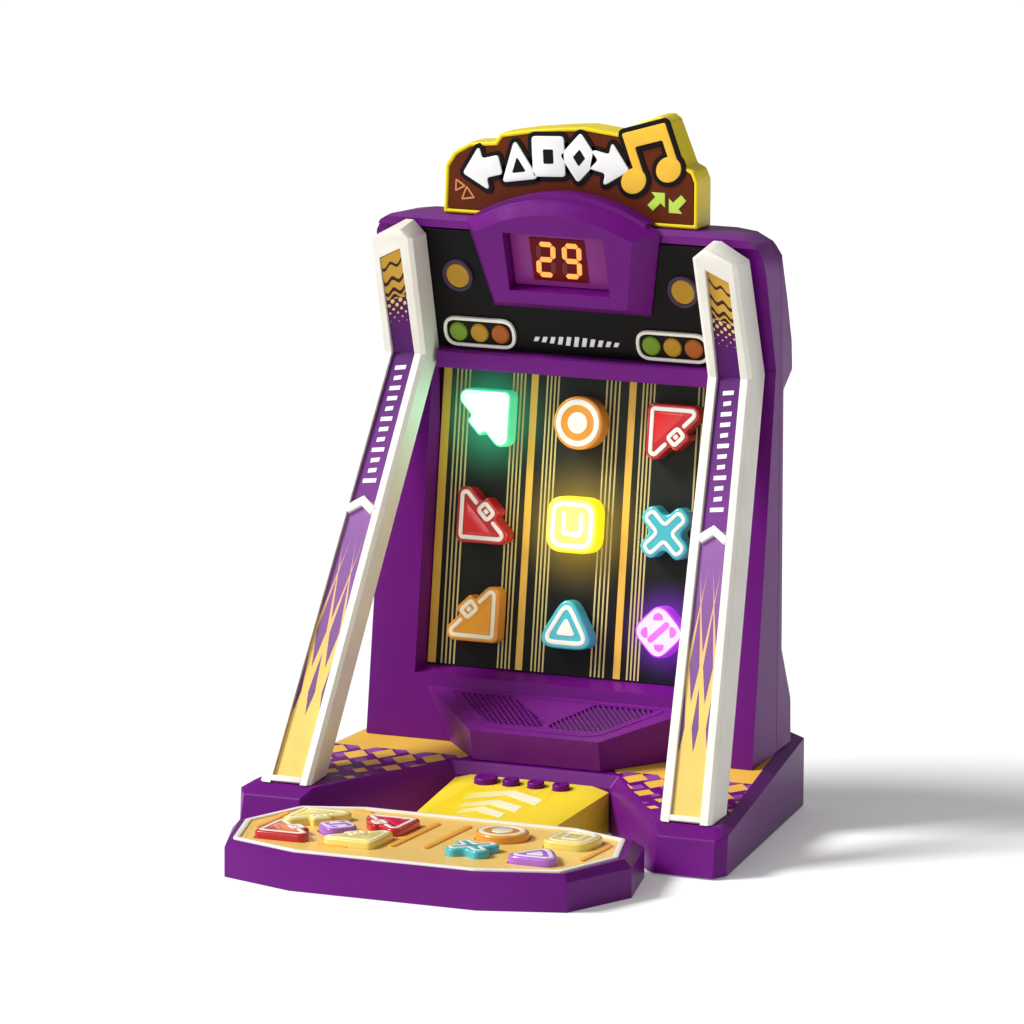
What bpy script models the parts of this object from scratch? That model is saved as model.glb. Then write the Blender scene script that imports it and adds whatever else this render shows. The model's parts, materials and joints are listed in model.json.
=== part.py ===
"""Tabletop finger-dance machine: a base with a control pad, a leaning screen tower and two side rails.

Lengths below are millimetres and become metres when a mesh is made. X runs across the machine, -Y is the
player's side, Z is up, and the origin is the centre of the footprint on the table.
"""

import math

import bpy
import bmesh
from mathutils import Matrix, Vector

MM = 0.001
GAP = 0.3  # clearance between neighbouring mouldings
WALL = 2.4  # moulded wall thickness

# Base
FOOT_LIFT = 0.6  # the rubber feet hold the shells this far off the table
BASE_REAR_Y = 118.0
DECK_Y = -18.8  # front edge of the deck
DECK_Z = 20.0  # deck height at that edge
DECK_SLOPE = 0.094  # the deck rises towards the rear
BASE_LOW = [(35.4, 31.8), (75.0, -23.5), (80.5, -28.6), (107.0, -28.6), (110.0, -21.5), (87.6, BASE_REAR_Y)]
BASE_SHOULDER = [
    (35.4, 31.8, 19.6),
    (75.3, -22.8, 10.2),
    (80.8, -25.0, 15.6),
    (106.4, -25.0, 15.6),
    (110.0, -20.3, 17.2),
    (87.6, BASE_REAR_Y, 29.6),
]
BASE_DECK = [(38.5, 34.5), (77.0, -19.2), (79.6, DECK_Y), (103.4, DECK_Y), (105.3, -16.2), (83.2, 114.0)]
COVER_TOP = 4.2
COVER_BOTTOM = 2.2

# Tower
TOWER_HALF = 88.5
TOWER_CORNER = 14.0  # radius of the top corners at the front
TOWER_REAR_CORNER = 21.0
TOWER_CORNER_Y = (60.0, 88.0)  # where the corner starts and stops growing
TOWER_TOP_Z = 251.0
SPLIT_Y = 84.0  # joint line between the front and rear shells
FRAME_Y = 57.7  # front of the frame at the deck
FRAME_Z = 27.5
FRAME_LEAN = 0.132
REAR_PROFILE = [
    (106.0, 32.4),
    (105.5, 50.0),
    (95.0, 73.0),
    (94.0, 181.5),
    (103.5, 189.0),
    (102.5, 203.0),
    (97.0, 222.0),
    (91.0, 239.5),
    (85.5, 249.5),
]
REAR_BEVEL = 6.0

# Screen, as a plane: y at height z is SCREEN_Y + SCREEN_LEAN * (z - SCREEN_Z)
SCREEN_Y = 73.8
SCREEN_Z = 79.5
SCREEN_LEAN = 0.1321
SCREEN_HALF = 66.5
SCREEN_LOW = 57.0
SCREEN_HIGH = 184.0
SCREEN_SILL = 53.5  # lower edge of the opening at the front of the frame
PANEL_THICK = 1.5
LAMP_X = 42.2
LAMP_ROWS = (163.4, 120.7, 79.4)
LAMP_THICK = 7.6
LAMP_SIZE = 22.5
SPIGOT_R = 5.0

# Marquee, leaning forward
MARQUEE_Y = 68.4
MARQUEE_Z = 225.0
MARQUEE_LEAN = -0.293
MARQUEE_HALF = 66.0
MARQUEE_LOW = 192.6
MARQUEE_HIGH = 245.0
LEDGE_Y = 71.3
LEDGE_HALF = 62.5
ROUND_LAMP_X = 51.2
ROUND_LAMP_R = 7.0
SIGNAL_X = 44.0
SIGNAL_Z = 200.4
SIGNAL_SIZE = (33.0, 13.0)

# Score display
HOUSING_Y = 49.6
HOUSING_Z = 246.7
HOUSING_LEAN = -0.31
HOUSING_FRONT_HALF = (29.8, 35.8)  # bottom, top
HOUSING_BACK_HALF = (35.6, 44.0)
HOUSING_FRONT_Z = (216.7, 246.7)
HOUSING_BACK_Z = (213.2, 250.6)
HOUSING_ARCH = 9.6  # rise of the arched top
HOUSING_BACK_ARCH = 11.0
DISPLAY_HALF = 22.8
DISPLAY_Z = (222.0, 247.4)
DISPLAY_DEPTH = 6.0

# Sign on top
SIGN_Y = (67.3, 82.0)
SIGN_OUTLINE = [
    (-57.8, 251.3),
    (57.6, 251.3),
    (57.6, 271.0),
    (55.6, 275.6),
    (51.8, 277.4),
    (44.4, 295.6),
    (41.5, 297.6),
    (38.5, 297.3),
    (28.3, 293.3),
    (25.3, 289.2),
    (13.5, 290.4),
    (6.5, 291.2),
    (-5.0, 290.2),
    (-18.6, 288.6),
    (-32.0, 286.2),
    (-34.5, 282.6),
    (-46.0, 281.5),
    (-53.0, 277.5),
    (-57.0, 271.5),
]
SIGN_FACE_DEPTH = 2.0

# Side rails: (inner x, outer x, front y, rear y) at the deck, the bend and the top
RAIL_FOOT = (78.8, 102.0, -19.2, -2.6)
RAIL_BEND = (64.2, 84.2, 62.6, 77.9)
RAIL_TOP = (63.4, 83.2, 46.9, 62.2)
RAIL_BEND_Z = 191.0
RAIL_TOP_Z = (242.6, 241.2)  # inner edge, outer edge
RAIL_TIP = (68.1, 71.6, 47.2, 60.0)
RAIL_TIP_Z = (246.2, 248.6)  # front edge, rear edge
RAIL_CHAMFER = 1.6
SLOT_FOOT = (83.4, 97.0)
SLOT_BEND = (68.7, 79.4)
SLOT_TOP = (69.0, 79.2)
SLOT_TOP_Z = (238.0, 233.0)
SLOT_DEPTH = 3.0

# Speaker shelf
SHELF_TOP = [(61.6, 60.3, 50.0), (29.2, 33.0, 38.5)]  # rear corner, front corner
SHELF_LOW = [(49.0, 57.2, 27.4), (29.0, 36.0, 25.6)]
SPEAKER_R = 10.5
SPEAKER_Y = 46.6

# Console with the four mode buttons
CONSOLE_SECTIONS = ((23.4, 31.0, 3.2), (27.5, 35.0, 2.0))  # front and rear: top half, outer half, edge drop
CONSOLE_Y = (-24.9, 31.2)
CONSOLE_Z = 20.2  # height of the top at the rear edge
CONSOLE_SLOPE = 0.092
BUTTON_Y = 23.4
BUTTONS = ((-17.3, 5.0), (-5.9, 3.6), (5.4, 3.6), (16.8, 3.6))  # x, radius
BUTTON_RISE = 2.6
BUTTON_FLANGE = 1.2

# Control pad
PAD_LOW = [(41.5, -BASE_REAR_Y), (76.1, -106.2), (89.2, -71.1), (79.0, -34.0), (50.0, -25.4)]
PAD_TOP = [(40.8, -117.3), (74.6, -105.8), (86.0, -71.2), (75.0, -37.2), (48.8, -28.2)]
PAD_RIM = [(39.5, -116.3), (73.0, -104.8), (83.3, -71.4), (73.0, -39.5), (47.5, -30.1)]
PAD_SHOULDER_Z = 12.4
PAD_TOP_Z = 15.9
PAD_RIM_Z = 16.7
PAD_RIM_WIDTH = 4.6
PAD_PLATE_Z = (14.2, 15.7)
PAD_FLOOR_Z = 2.2
KEY_TOP_Z = 19.0
KEY_FLANGE_Z = (12.5, 13.9)
KEY_FLANGE = 0.9  # how far the retaining flange reaches past the key
KEY_STEM = (2.4, 8.7)  # radius and lower end of the stem that presses the switch
KEY_CLEARANCE = 0.5
ARROW_CENTRE = (-40.0, -74.5)
ARROW_REACH = (26.8, 24.4)  # from the centre key to an arrow's outer corner
ARROW_LEG = 25.0
SHAPE_KEYS = {"ring": (25.8, -57.0), "square": (56.8, -56.0), "cross": (25.8, -87.0), "triangle": (55.6, -88.0)}

# Inside
BATTERY_R = 7.1
BATTERY_LENGTH = 50.5
BATTERY_PITCH = 15.4
BATTERY_X = 22.0
BATTERY_Y = 78.0
BATTERY_Z = 12.6

COLOURS = {
    "purple": ((0.16, 0.012, 0.22, 1.0), 0.32),
    "white": ((0.82, 0.8, 0.72, 1.0), 0.35),
    "yellow": ((0.85, 0.62, 0.05, 1.0), 0.35),
    "gold": ((0.75, 0.45, 0.08, 1.0), 0.4),
    "orange": ((0.85, 0.3, 0.02, 1.0), 0.3),
    "red": ((0.7, 0.02, 0.01, 1.0), 0.3),
    "cyan": ((0.05, 0.5, 0.6, 1.0), 0.3),
    "mint": ((0.35, 0.85, 0.6, 1.0), 0.3),
    "violet": ((0.55, 0.25, 0.8, 1.0), 0.3),
    "black": ((0.015, 0.013, 0.015, 1.0), 0.4),
    "brown": ((0.09, 0.02, 0.006, 1.0), 0.4),
    "rubber": ((0.03, 0.03, 0.03, 1.0), 0.8),
    "board": ((0.02, 0.16, 0.06, 1.0), 0.5),
    "metal": ((0.6, 0.6, 0.62, 1.0), 0.3),
}


def clear_scene():
    for old in list(bpy.data.objects):
        bpy.data.objects.remove(old, do_unlink=True)


def make_materials():
    made = {}
    for name, (colour, roughness) in COLOURS.items():
        material = bpy.data.materials.new(name)
        material.use_nodes = True
        shader = material.node_tree.nodes["Principled BSDF"]
        shader.inputs["Base Color"].default_value = colour
        shader.inputs["Roughness"].default_value = roughness
        if name == "metal":
            shader.inputs["Metallic"].default_value = 1.0
        made[name] = material
    return made


def add_object(name, points, faces, colour):
    """A closed mesh from points in millimetres, with its faces turned outwards."""
    mesh = bpy.data.meshes.new(name)
    mesh.from_pydata([Vector(p) * MM for p in points], [], faces)
    work = bmesh.new()
    work.from_mesh(mesh)
    bmesh.ops.triangulate(work, faces=[f for f in work.faces if len(f.verts) > 3])
    bmesh.ops.recalc_face_normals(work, faces=work.faces)
    work.to_mesh(mesh)
    work.free()
    obj = bpy.data.objects.new(name, mesh)
    bpy.context.scene.collection.objects.link(obj)
    mesh.materials.append(MATERIALS[colour])
    return obj


def loft(name, rings, colour):
    """Rings with equal point counts, joined in order and closed at both ends."""
    count = len(rings[0])
    points = [p for ring in rings for p in ring]
    faces = [list(range(count))[::-1], list(range(len(points) - count, len(points)))]
    for level in range(len(rings) - 1):
        for i in range(count):
            a = level * count + i
            b = level * count + (i + 1) % count
            faces.append([a, b, b + count, a + count])
    return add_object(name, points, faces, colour)


def combine(target, tool, operation="DIFFERENCE"):
    """Applies a Boolean to the target and removes the tool."""
    modifier = target.modifiers.new("cut", "BOOLEAN")
    modifier.operation = operation
    modifier.solver = "EXACT"
    modifier.object = tool
    bpy.context.view_layer.update()
    graph = bpy.context.evaluated_depsgraph_get()
    result = bpy.data.meshes.new_from_object(target.evaluated_get(graph))
    target.modifiers.clear()
    target.data = result
    bpy.data.objects.remove(tool, do_unlink=True)
    return target


def mirrored(right):
    """A closed outline from its right-hand points, listed from the centre line round to the centre line."""
    return list(right) + [(-p[0],) + tuple(p[1:]) for p in reversed(right)]


def inset(outline, distance):
    """The outline moved inwards by distance; a negative distance moves it outwards."""
    area = sum(a[0] * b[1] - b[0] * a[1] for a, b in zip(outline, outline[1:] + outline[:1]))
    turn = 1.0 if area > 0 else -1.0
    moved = []
    for i, corner in enumerate(outline):
        before = Vector(corner[:2]) - Vector(outline[i - 1][:2])
        after = Vector(outline[(i + 1) % len(outline)][:2]) - Vector(corner[:2])
        before.normalize()
        after.normalize()
        first = Vector((-before.y, before.x)) * turn
        second = Vector((-after.y, after.x)) * turn
        middle = first + second
        middle *= distance / max(middle.dot(first), 0.35)
        moved.append((corner[0] + middle.x, corner[1] + middle.y))
    return moved


def rounded(outline, radius, steps=3):
    """The outline with each corner replaced by an arc."""
    soft = []
    count = len(outline)
    for i, corner in enumerate(outline):
        here = Vector(corner)
        back = Vector(outline[i - 1]) - here
        on = Vector(outline[(i + 1) % count]) - here
        half = back.angle(on) / 2
        reach = min(radius / math.tan(half), 0.48 * back.length, 0.48 * on.length)
        start = here + back.normalized() * reach
        end = here + on.normalized() * reach
        for k in range(steps + 1):
            t = k / steps
            soft.append(tuple(start * (1 - t) ** 2 + here * 2 * t * (1 - t) + end * t * t))
    return soft


def circle(x, y, radius, count=24):
    turn = 2 * math.pi / count
    return [(x + radius * math.cos(i * turn), y + radius * math.sin(i * turn)) for i in range(count)]


def upright(name, outline, low, high, colour):
    """A plan outline pulled up from low to high."""
    return loft(name, [[(x, y, low) for x, y in outline], [(x, y, high) for x, y in outline]], colour)


def side_prism(name, profile, half, colour):
    """A (y, z) profile pulled across the machine."""
    return loft(name, [[(-half, y, z) for y, z in profile], [(half, y, z) for y, z in profile]], colour)


def on_plane(plane, x, z, out):
    """A point at height z on a leaning plane, moved out along its normal towards the player."""
    y0, z0, lean = plane
    length = math.hypot(1.0, lean)
    return (x, y0 + lean * (z - z0) - out / length, z + out * lean / length)


def slab(name, plane, outline, back, front, colour):
    """An (x, z) outline on a leaning plane, thick from back to front along the plane's normal."""
    return loft(name, [[on_plane(plane, x, z, out) for x, z in outline] for out in (back, front)], colour)


SCREEN = (SCREEN_Y, SCREEN_Z, SCREEN_LEAN)
MARQUEE = (MARQUEE_Y, MARQUEE_Z, MARQUEE_LEAN)
HOUSING = (HOUSING_Y, HOUSING_Z, HOUSING_LEAN)


def deck_z(y):
    return DECK_Z + DECK_SLOPE * (y - DECK_Y)


def frame_y(z):
    return FRAME_Y + FRAME_LEAN * (z - FRAME_Z)


def marquee_y(z):
    return MARQUEE_Y + MARQUEE_LEAN * (z - MARQUEE_Z)


def console_z(y):
    return CONSOLE_Z + CONSOLE_SLOPE * (y - CONSOLE_Y[1])


def box_outline(half, low, high):
    return [(-half, low), (half, low), (half, high), (-half, high)]


def rectangle(x0, x1, y0, y1):
    return [(x0, y0), (x1, y0), (x1, y1), (x0, y1)]


# ---- Outlines shared by the screen lamps and the pad keys ----


def arrow(leg, turn_x, turn_y):
    """A right-angled triangle pointing at its corner, with a square tail. turn_x, turn_y pick the corner."""
    tail = 0.15 * leg
    reach = 0.13 * leg
    middle = leg / 2
    points = [
        (0, 0),
        (leg, 0),
        (middle + tail, middle - tail),
        (middle + tail + reach, middle - tail + reach),
        (middle - tail + reach, middle + tail + reach),
        (middle - tail, middle + tail),
        (0, leg),
    ]
    centre = 0.42 * leg
    points = [((x - centre) * -turn_x, (y - centre) * -turn_y) for x, y in points]
    if turn_x * turn_y < 0:
        points.reverse()
    return rounded(points, 0.09 * leg, 2)


def cross(size):
    arm = 0.2 * size
    reach = 0.62 * size
    points = []
    for turn in (45, 135, 225, 315):
        along = Vector((math.cos(math.radians(turn)), math.sin(math.radians(turn))))
        side = Vector((-along.y, along.x))
        points.append(tuple(along * reach - side * arm))
        points.append(tuple(along * reach + side * arm))
        points.append(tuple((along + side) * arm))
    return rounded(points, 0.16 * size, 2)


def triangle(size):
    half = 0.6 * size
    return rounded([(-half, -0.48 * size), (half, -0.48 * size), (0, 0.6 * size)], 0.17 * size, 3)


def square(size):
    half = size / 2
    return rounded([(-half, -half), (half, -half), (half, half), (-half, half)], 0.26 * size, 3)


def diamond(size):
    half = 0.6 * size
    return rounded([(0, -half), (half, 0), (0, half), (-half, 0)], 0.3 * size, 3)


# ---- Base ----


def translation(x, y, z):
    return Matrix.Translation(Vector((x, y, z)) * MM)


def make_base():
    low = mirrored(BASE_LOW)
    rings = [
        [(x, y, FOOT_LIFT) for x, y in low],
        mirrored(BASE_SHOULDER),
        [(x, y, deck_z(y)) for x, y in mirrored(BASE_DECK)],
    ]
    base = loft("base_shell", rings, "purple")
    inner = inset(low, WALL)
    hollow = [
        [(x, y, -5.0) for x, y in inner],
        [(x, y, COVER_TOP + WALL) for x, y in inner],
        [(x, y, deck_z(y) - 8.0) for x, y in inset(low, 2 * WALL)],
        [(x, y, deck_z(y) - WALL) for x, y in inset(low, 3 * WALL)],
    ]
    combine(base, loft("cut", hollow, "purple"))
    combine(base, upright("cut", rectangle(-12, 12, 66, 76), 15, 40, "purple"))

    cover = upright("base_bottom_cover", inset(low, WALL + GAP), COVER_BOTTOM, COVER_TOP, "black")
    reach = BATTERY_LENGTH / 2 + 2.5
    depth = 1.5 * BATTERY_PITCH + 1.5
    door = rectangle(BATTERY_X - reach, BATTERY_X + reach, BATTERY_Y - depth, BATTERY_Y + depth)
    combine(cover, upright("cut", inset(door, -0.4), 0, 10, "black"))
    for x, y in ((-74, 50), (-40, 50), (-74, 94), (-40, 94)):
        post = upright("post", circle(x, y, 2.5, 12), COVER_TOP - 1, 8.6, "black")
        combine(cover, post, "UNION")

    flap = upright("battery_cover", door, COVER_BOTTOM, COVER_TOP - 0.2, "black")
    flap.data.transform(translation(0, -(BATTERY_Y - depth), -COVER_BOTTOM))
    flap.location = Vector((0, BATTERY_Y - depth, COVER_BOTTOM)) * MM

    for name, x, y in (
        ("foot_front_right", 95, -12),
        ("foot_front_left", -95, -12),
        ("foot_rear_right", 74, 104),
        ("foot_rear_left", -74, 104),
    ):
        upright(name, circle(x, y, 5.5, 20), 0, COVER_BOTTOM - GAP, "rubber")


def make_power():
    reach = BATTERY_LENGTH / 2 + 2.0
    depth = 1.5 * BATTERY_PITCH + 1.0
    top = BATTERY_Z + BATTERY_R + 2.6
    outer = rectangle(
        BATTERY_X - reach - 1.4, BATTERY_X + reach + 1.4, BATTERY_Y - depth - 1.4, BATTERY_Y + depth + 1.4
    )
    holder = upright("battery_holder", outer, COVER_TOP + GAP, top, "black")
    pocket = rectangle(BATTERY_X - reach, BATTERY_X + reach, BATTERY_Y - depth, BATTERY_Y + depth)
    combine(holder, upright("cut", pocket, 0, top - 1.4, "black"))
    for i in (-1, 0, 1):
        y = BATTERY_Y + i * BATTERY_PITCH
        nub = 1.4
        body = [(x, radius) for x, radius in ((0, BATTERY_R), (BATTERY_LENGTH - nub, BATTERY_R))]
        rings = []
        for x, radius in body + [(BATTERY_LENGTH - nub, 2.7), (BATTERY_LENGTH, 2.7)]:
            at = x - BATTERY_LENGTH / 2
            at = BATTERY_X + (at if i % 2 == 0 else -at)
            rings.append([(at, y + a, BATTERY_Z + b) for a, b in circle(0, 0, radius, 20)])
        loft("battery_cell_" + str(i + 2), rings, "metal")
    upright("main_board", rectangle(-80, -34, 44, 100), 8.9, 10.5, "board")


# ---- Tower ----


def tower_envelope(name, shrink):
    """The tower's front view run from front to back, with top corners that grow rounder on the way."""
    rings = []
    first, last = TOWER_CORNER_Y
    for y, radius in ((30.0, TOWER_CORNER), (first, TOWER_CORNER), (last, TOWER_REAR_CORNER), (130.0, TOWER_REAR_CORNER)):
        outline = inset(rounded(box_outline(TOWER_HALF, -60.0, TOWER_TOP_Z), radius, 4), shrink)
        rings.append([(x, y, z) for x, z in outline])
    return loft(name, rings, "purple")


def across_y(name, outline, front, rear, colour):
    return loft(name, [[(x, y, z) for x, z in outline] for y in (front, rear)], colour)


def make_tower_front():
    backing = PANEL_THICK + GAP
    profile = [
        (FRAME_Y, FRAME_Z),
        (frame_y(MARQUEE_LOW - 0.3), MARQUEE_LOW - 0.3),
        (marquee_y(MARQUEE_LOW) + backing, MARQUEE_LOW - 0.2),
        (marquee_y(MARQUEE_HIGH) + backing, MARQUEE_HIGH + 0.4),
        (marquee_y(MARQUEE_HIGH) + 0.3, MARQUEE_HIGH + 0.6),
        (marquee_y(MARQUEE_HIGH) + 0.3, TOWER_TOP_Z - 2.2),
        (marquee_y(MARQUEE_HIGH) + 1.4, TOWER_TOP_Z),
        (SPLIT_Y, TOWER_TOP_Z),
        (SPLIT_Y, deck_z(SPLIT_Y) + GAP),
    ]
    shell = side_prism("tower_front_shell", profile, TOWER_HALF, "purple")
    combine(shell, tower_envelope("cut", 0.0), "INTERSECT")
    hollow = [
        (FRAME_Y + 2.6, 10.0),
        (frame_y(MARQUEE_LOW) + 2.6, MARQUEE_LOW),
        (marquee_y(MARQUEE_HIGH) + backing + 2.6, MARQUEE_HIGH - 0.6),
        (marquee_y(MARQUEE_HIGH) + backing + 2.6, TOWER_TOP_Z - WALL),
        (SPLIT_Y + 9, TOWER_TOP_Z - WALL),
        (SPLIT_Y + 9, 10.0),
    ]
    cavity = side_prism("cavity", hollow, TOWER_HALF - 4.0, "purple")
    combine(cavity, tower_envelope("cut", WALL), "INTERSECT")
    frame_out = (SCREEN_Y - frame_y(SCREEN_Z)) / math.hypot(1, SCREEN_LEAN)
    well = box_outline(SCREEN_HALF + 3.4, SCREEN_SILL - 2.2, SCREEN_HIGH + 2.2)
    combine(cavity, slab("well", SCREEN, well, -1.8, frame_out + 1, "purple"))
    combine(shell, cavity)
    back = box_outline(SCREEN_HALF, SCREEN_LOW, SCREEN_HIGH)
    front = box_outline(SCREEN_HALF + 1.1, SCREEN_SILL, SCREEN_HIGH)
    sections = [(back, -9.0), (back, 0.0), (front, frame_out), (front, frame_out + 20)]
    rings = [[on_plane(SCREEN, x, z, out) for x, z in outline] for outline, out in sections]
    combine(shell, loft("cut", rings, "purple"))
    ledge = [
        (LEDGE_Y + 0.5, SCREEN_HIGH + 0.6),
        (LEDGE_Y, SCREEN_HIGH + 2.0),
        (LEDGE_Y + 0.3, MARQUEE_LOW - 1.2),
        (LEDGE_Y + 1.4, MARQUEE_LOW - 0.4),
        (SPLIT_Y, MARQUEE_LOW - 0.4),
        (SPLIT_Y, SCREEN_HIGH + 0.6),
    ]
    combine(shell, side_prism("ledge", ledge, LEDGE_HALF, "purple"), "UNION")


def make_tower_rear():
    start = SPLIT_Y + GAP
    profile = [(start, deck_z(start) + GAP)] + REAR_PROFILE + [(start, TOWER_TOP_Z)]
    shell = side_prism("tower_rear_shell", profile, TOWER_HALF, "purple")
    work = bmesh.new()
    work.from_mesh(shell.data)
    edges = []
    for edge in work.edges:
        a, b = (v.co / MM for v in edge.verts)
        at_side = abs(a.x - b.x) < 0.01 and abs(abs(a.x) - TOWER_HALF) < 0.01
        outer = min(a.y, b.y) > start + 0.5 and max(abs(f.normal.x) for f in edge.link_faces) > 0.9
        folded = edge.calc_face_angle(0) > 0.5
        if at_side and outer and folded:
            edges.append(edge)
    bmesh.ops.bevel(work, geom=edges, offset=REAR_BEVEL * MM, segments=2, profile=0.5, affect="EDGES")
    work.to_mesh(shell.data)
    work.free()
    combine(shell, tower_envelope("cut", 0.0), "INTERSECT")
    hollow = [(start - 8, 10.0), (102.4, 10.0), (102.2, 49.0), (91.9, 72.0), (90.9, 182.6)]
    hollow += [(100.2, 190.2), (99.2, 202.6), (93.9, 220.8), (88.6, 236.0), (start - 8, 244.0)]
    cavity = side_prism("cavity", hollow, TOWER_HALF - 5.0, "purple")
    combine(cavity, tower_envelope("cut", WALL), "INTERSECT")
    combine(shell, cavity)


def lamp_outlines():
    """The nine screen lamps in reading order: name, colour, outline about its own centre."""
    size = LAMP_SIZE
    leg = 1.16 * size
    return [
        ("arrow_up_right", "mint", arrow(leg, 1, 1)),
        ("ring", "orange", circle(0, 0, 0.5 * size, 24)),
        ("arrow_up_left", "red", arrow(leg, -1, 1)),
        ("arrow_down_left", "red", arrow(leg, -1, -1)),
        ("square", "yellow", square(1.04 * size)),
        ("cross", "cyan", cross(0.92 * size)),
        ("arrow_down_right", "orange", arrow(leg, 1, -1)),
        ("triangle", "cyan", triangle(0.98 * size)),
        ("ball", "violet", diamond(size)),
    ]


def make_screen():
    panel = slab(
        "screen_panel",
        SCREEN,
        box_outline(SCREEN_HALF - GAP, SCREEN_LOW + GAP, SCREEN_HIGH - GAP),
        -PANEL_THICK,
        0.0,
        "black",
    )
    board = box_outline(SCREEN_HALF - 4, SCREEN_LOW + 4, SCREEN_HIGH - 9)
    slab("lamp_board", SCREEN, board, -PANEL_THICK - 0.6 - 1.6, -PANEL_THICK - 0.6, "board")
    for i, (name, colour, outline) in enumerate(lamp_outlines()):
        x0 = (i % 3 - 1) * LAMP_X
        z0 = LAMP_ROWS[i // 3]
        placed = [(x0 + x, z0 + z) for x, z in outline]
        lens = slab("screen_lamp_" + name, SCREEN, placed, GAP, GAP + LAMP_THICK, colour)
        spigot = slab("spigot", SCREEN, circle(x0, z0, SPIGOT_R, 16), -1.2, GAP + 1, colour)
        combine(lens, spigot, "UNION")
        hole = slab("cut", SCREEN, circle(x0, z0, SPIGOT_R + GAP, 16), -6, 6, colour)
        combine(panel, hole)


def make_marquee():
    outline = box_outline(MARQUEE_HALF, MARQUEE_LOW + 0.3, MARQUEE_HIGH - 0.3)
    slab("marquee_panel", MARQUEE, outline, -PANEL_THICK, 0.0, "black")
    width, height = SIGNAL_SIZE
    for side, sign in (("left", -1), ("right", 1)):
        x = sign * ROUND_LAMP_X
        rings = []
        for radius, out in ((ROUND_LAMP_R, GAP), (ROUND_LAMP_R, 1.3), (5.2, 1.3), (4.6, 2.6), (2.6, 3.6)):
            rings.append([on_plane(MARQUEE, a, b, out) for a, b in circle(x, MARQUEE_Z, radius, 24)])
        loft("round_lamp_" + side, rings, "orange")
        x = sign * SIGNAL_X
        ends = rectangle(x - width / 2, x + width / 2, SIGNAL_Z - height / 2, SIGNAL_Z + height / 2)
        slab("signal_bar_" + side, MARQUEE, rounded(ends, height / 2 - 0.05, 6), GAP, 1.8, "white")


def arched(half_low, half_high, low, high, rise, steps=12):
    """A tapering outline whose top edge is an arch."""
    points = [(-half_low, low), (half_low, low)]
    for i in range(steps + 1):
        t = 1 - 2 * i / steps
        points.append((half_high * t, high + rise * (1 - t * t)))
    return points


def make_display():
    front = arched(*HOUSING_FRONT_HALF, *HOUSING_FRONT_Z, HOUSING_ARCH)
    back = arched(*HOUSING_BACK_HALF, *HOUSING_BACK_Z, HOUSING_BACK_ARCH)
    against = (MARQUEE_Y - GAP, MARQUEE_Z, MARQUEE_LEAN)
    rings = [
        [on_plane(HOUSING, x, z, 0.0) for x, z in front],
        [on_plane(against, x, z, 0.6) for x, z in back],
        [on_plane(against, x, z, 0.0) for x, z in back],
    ]
    housing = loft("display_housing", rings, "purple")
    # The hood reaches back over the tower's top edge to the sign.
    crown = arched(38.0, 38.5, TOWER_TOP_Z + GAP, TOWER_TOP_Z + 2.6, HOUSING_BACK_ARCH - 0.4)
    hood = across_y("hood", crown, 57.5, SIGN_Y[0] - GAP, "purple")
    combine(housing, hood, "UNION")
    opening = box_outline(DISPLAY_HALF, *DISPLAY_Z)
    combine(housing, slab("cut", HOUSING, opening, -40, 10, "purple"))
    module = box_outline(DISPLAY_HALF - GAP, DISPLAY_Z[0] + GAP, DISPLAY_Z[1] - GAP)
    slab("digit_display", HOUSING, module, -DISPLAY_DEPTH - 4.5, -DISPLAY_DEPTH, "black")


def make_sign():
    shell = across_y("sign_shell", SIGN_OUTLINE, *SIGN_Y, "yellow")
    pocket = inset(SIGN_OUTLINE, 1.8)
    combine(shell, across_y("cut", pocket, SIGN_Y[0] - 5, SIGN_Y[0] + SIGN_FACE_DEPTH, "yellow"))
    face = inset(SIGN_OUTLINE, 1.8 + GAP)
    across_y("sign_face", face, SIGN_Y[0] + 0.2, SIGN_Y[0] + SIGN_FACE_DEPTH - GAP, "brown")


# ---- Rails ----


def rail_ring(inner, outer, front, rear, inner_z, outer_z, sign, chamfer=RAIL_CHAMFER):
    c = chamfer
    points = [
        (inner, rear, inner_z),
        (outer, rear, outer_z),
        (outer, front + c, outer_z),
        (outer - c, front, outer_z),
        (inner + c, front, inner_z),
        (inner, front + c, inner_z),
    ]
    return [(x * sign, y, z) for x, y, z in points]


def on_deck(ring):
    return [(x, y, deck_z(y) + GAP) for x, y, z in ring]


def slot_rings(sign, shrink, near, far, low_extra):
    """Sections of the strip slot in a rail's face: near and far are depths behind the face."""
    rings = []
    run = RAIL_BEND_Z - deck_z(RAIL_FOOT[2])
    foot = tuple(f + low_extra * (f - bend) / run for f, bend in zip(SLOT_FOOT, SLOT_BEND))
    for (inner, outer), front, heights in (
        (foot, RAIL_FOOT[2], None),
        (SLOT_BEND, RAIL_BEND[2], (RAIL_BEND_Z, RAIL_BEND_Z)),
        (SLOT_TOP, RAIL_TOP[2] + 1.8, SLOT_TOP_Z),
    ):
        inner += shrink
        outer -= shrink
        ring = []
        for x, y, side in ((inner, far, 0), (outer, far, 1), (outer, near, 1), (inner, near, 0)):
            if heights:
                trim = shrink if heights is SLOT_TOP_Z else 0.0
                ring.append((x * sign, front + y, heights[side] - trim))
            else:
                back = low_extra * (RAIL_BEND[2] - RAIL_FOOT[2]) / run
                ring.append((x * sign, front + y - back, deck_z(front + y) + GAP - low_extra))
        rings.append(ring)
    return rings


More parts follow.
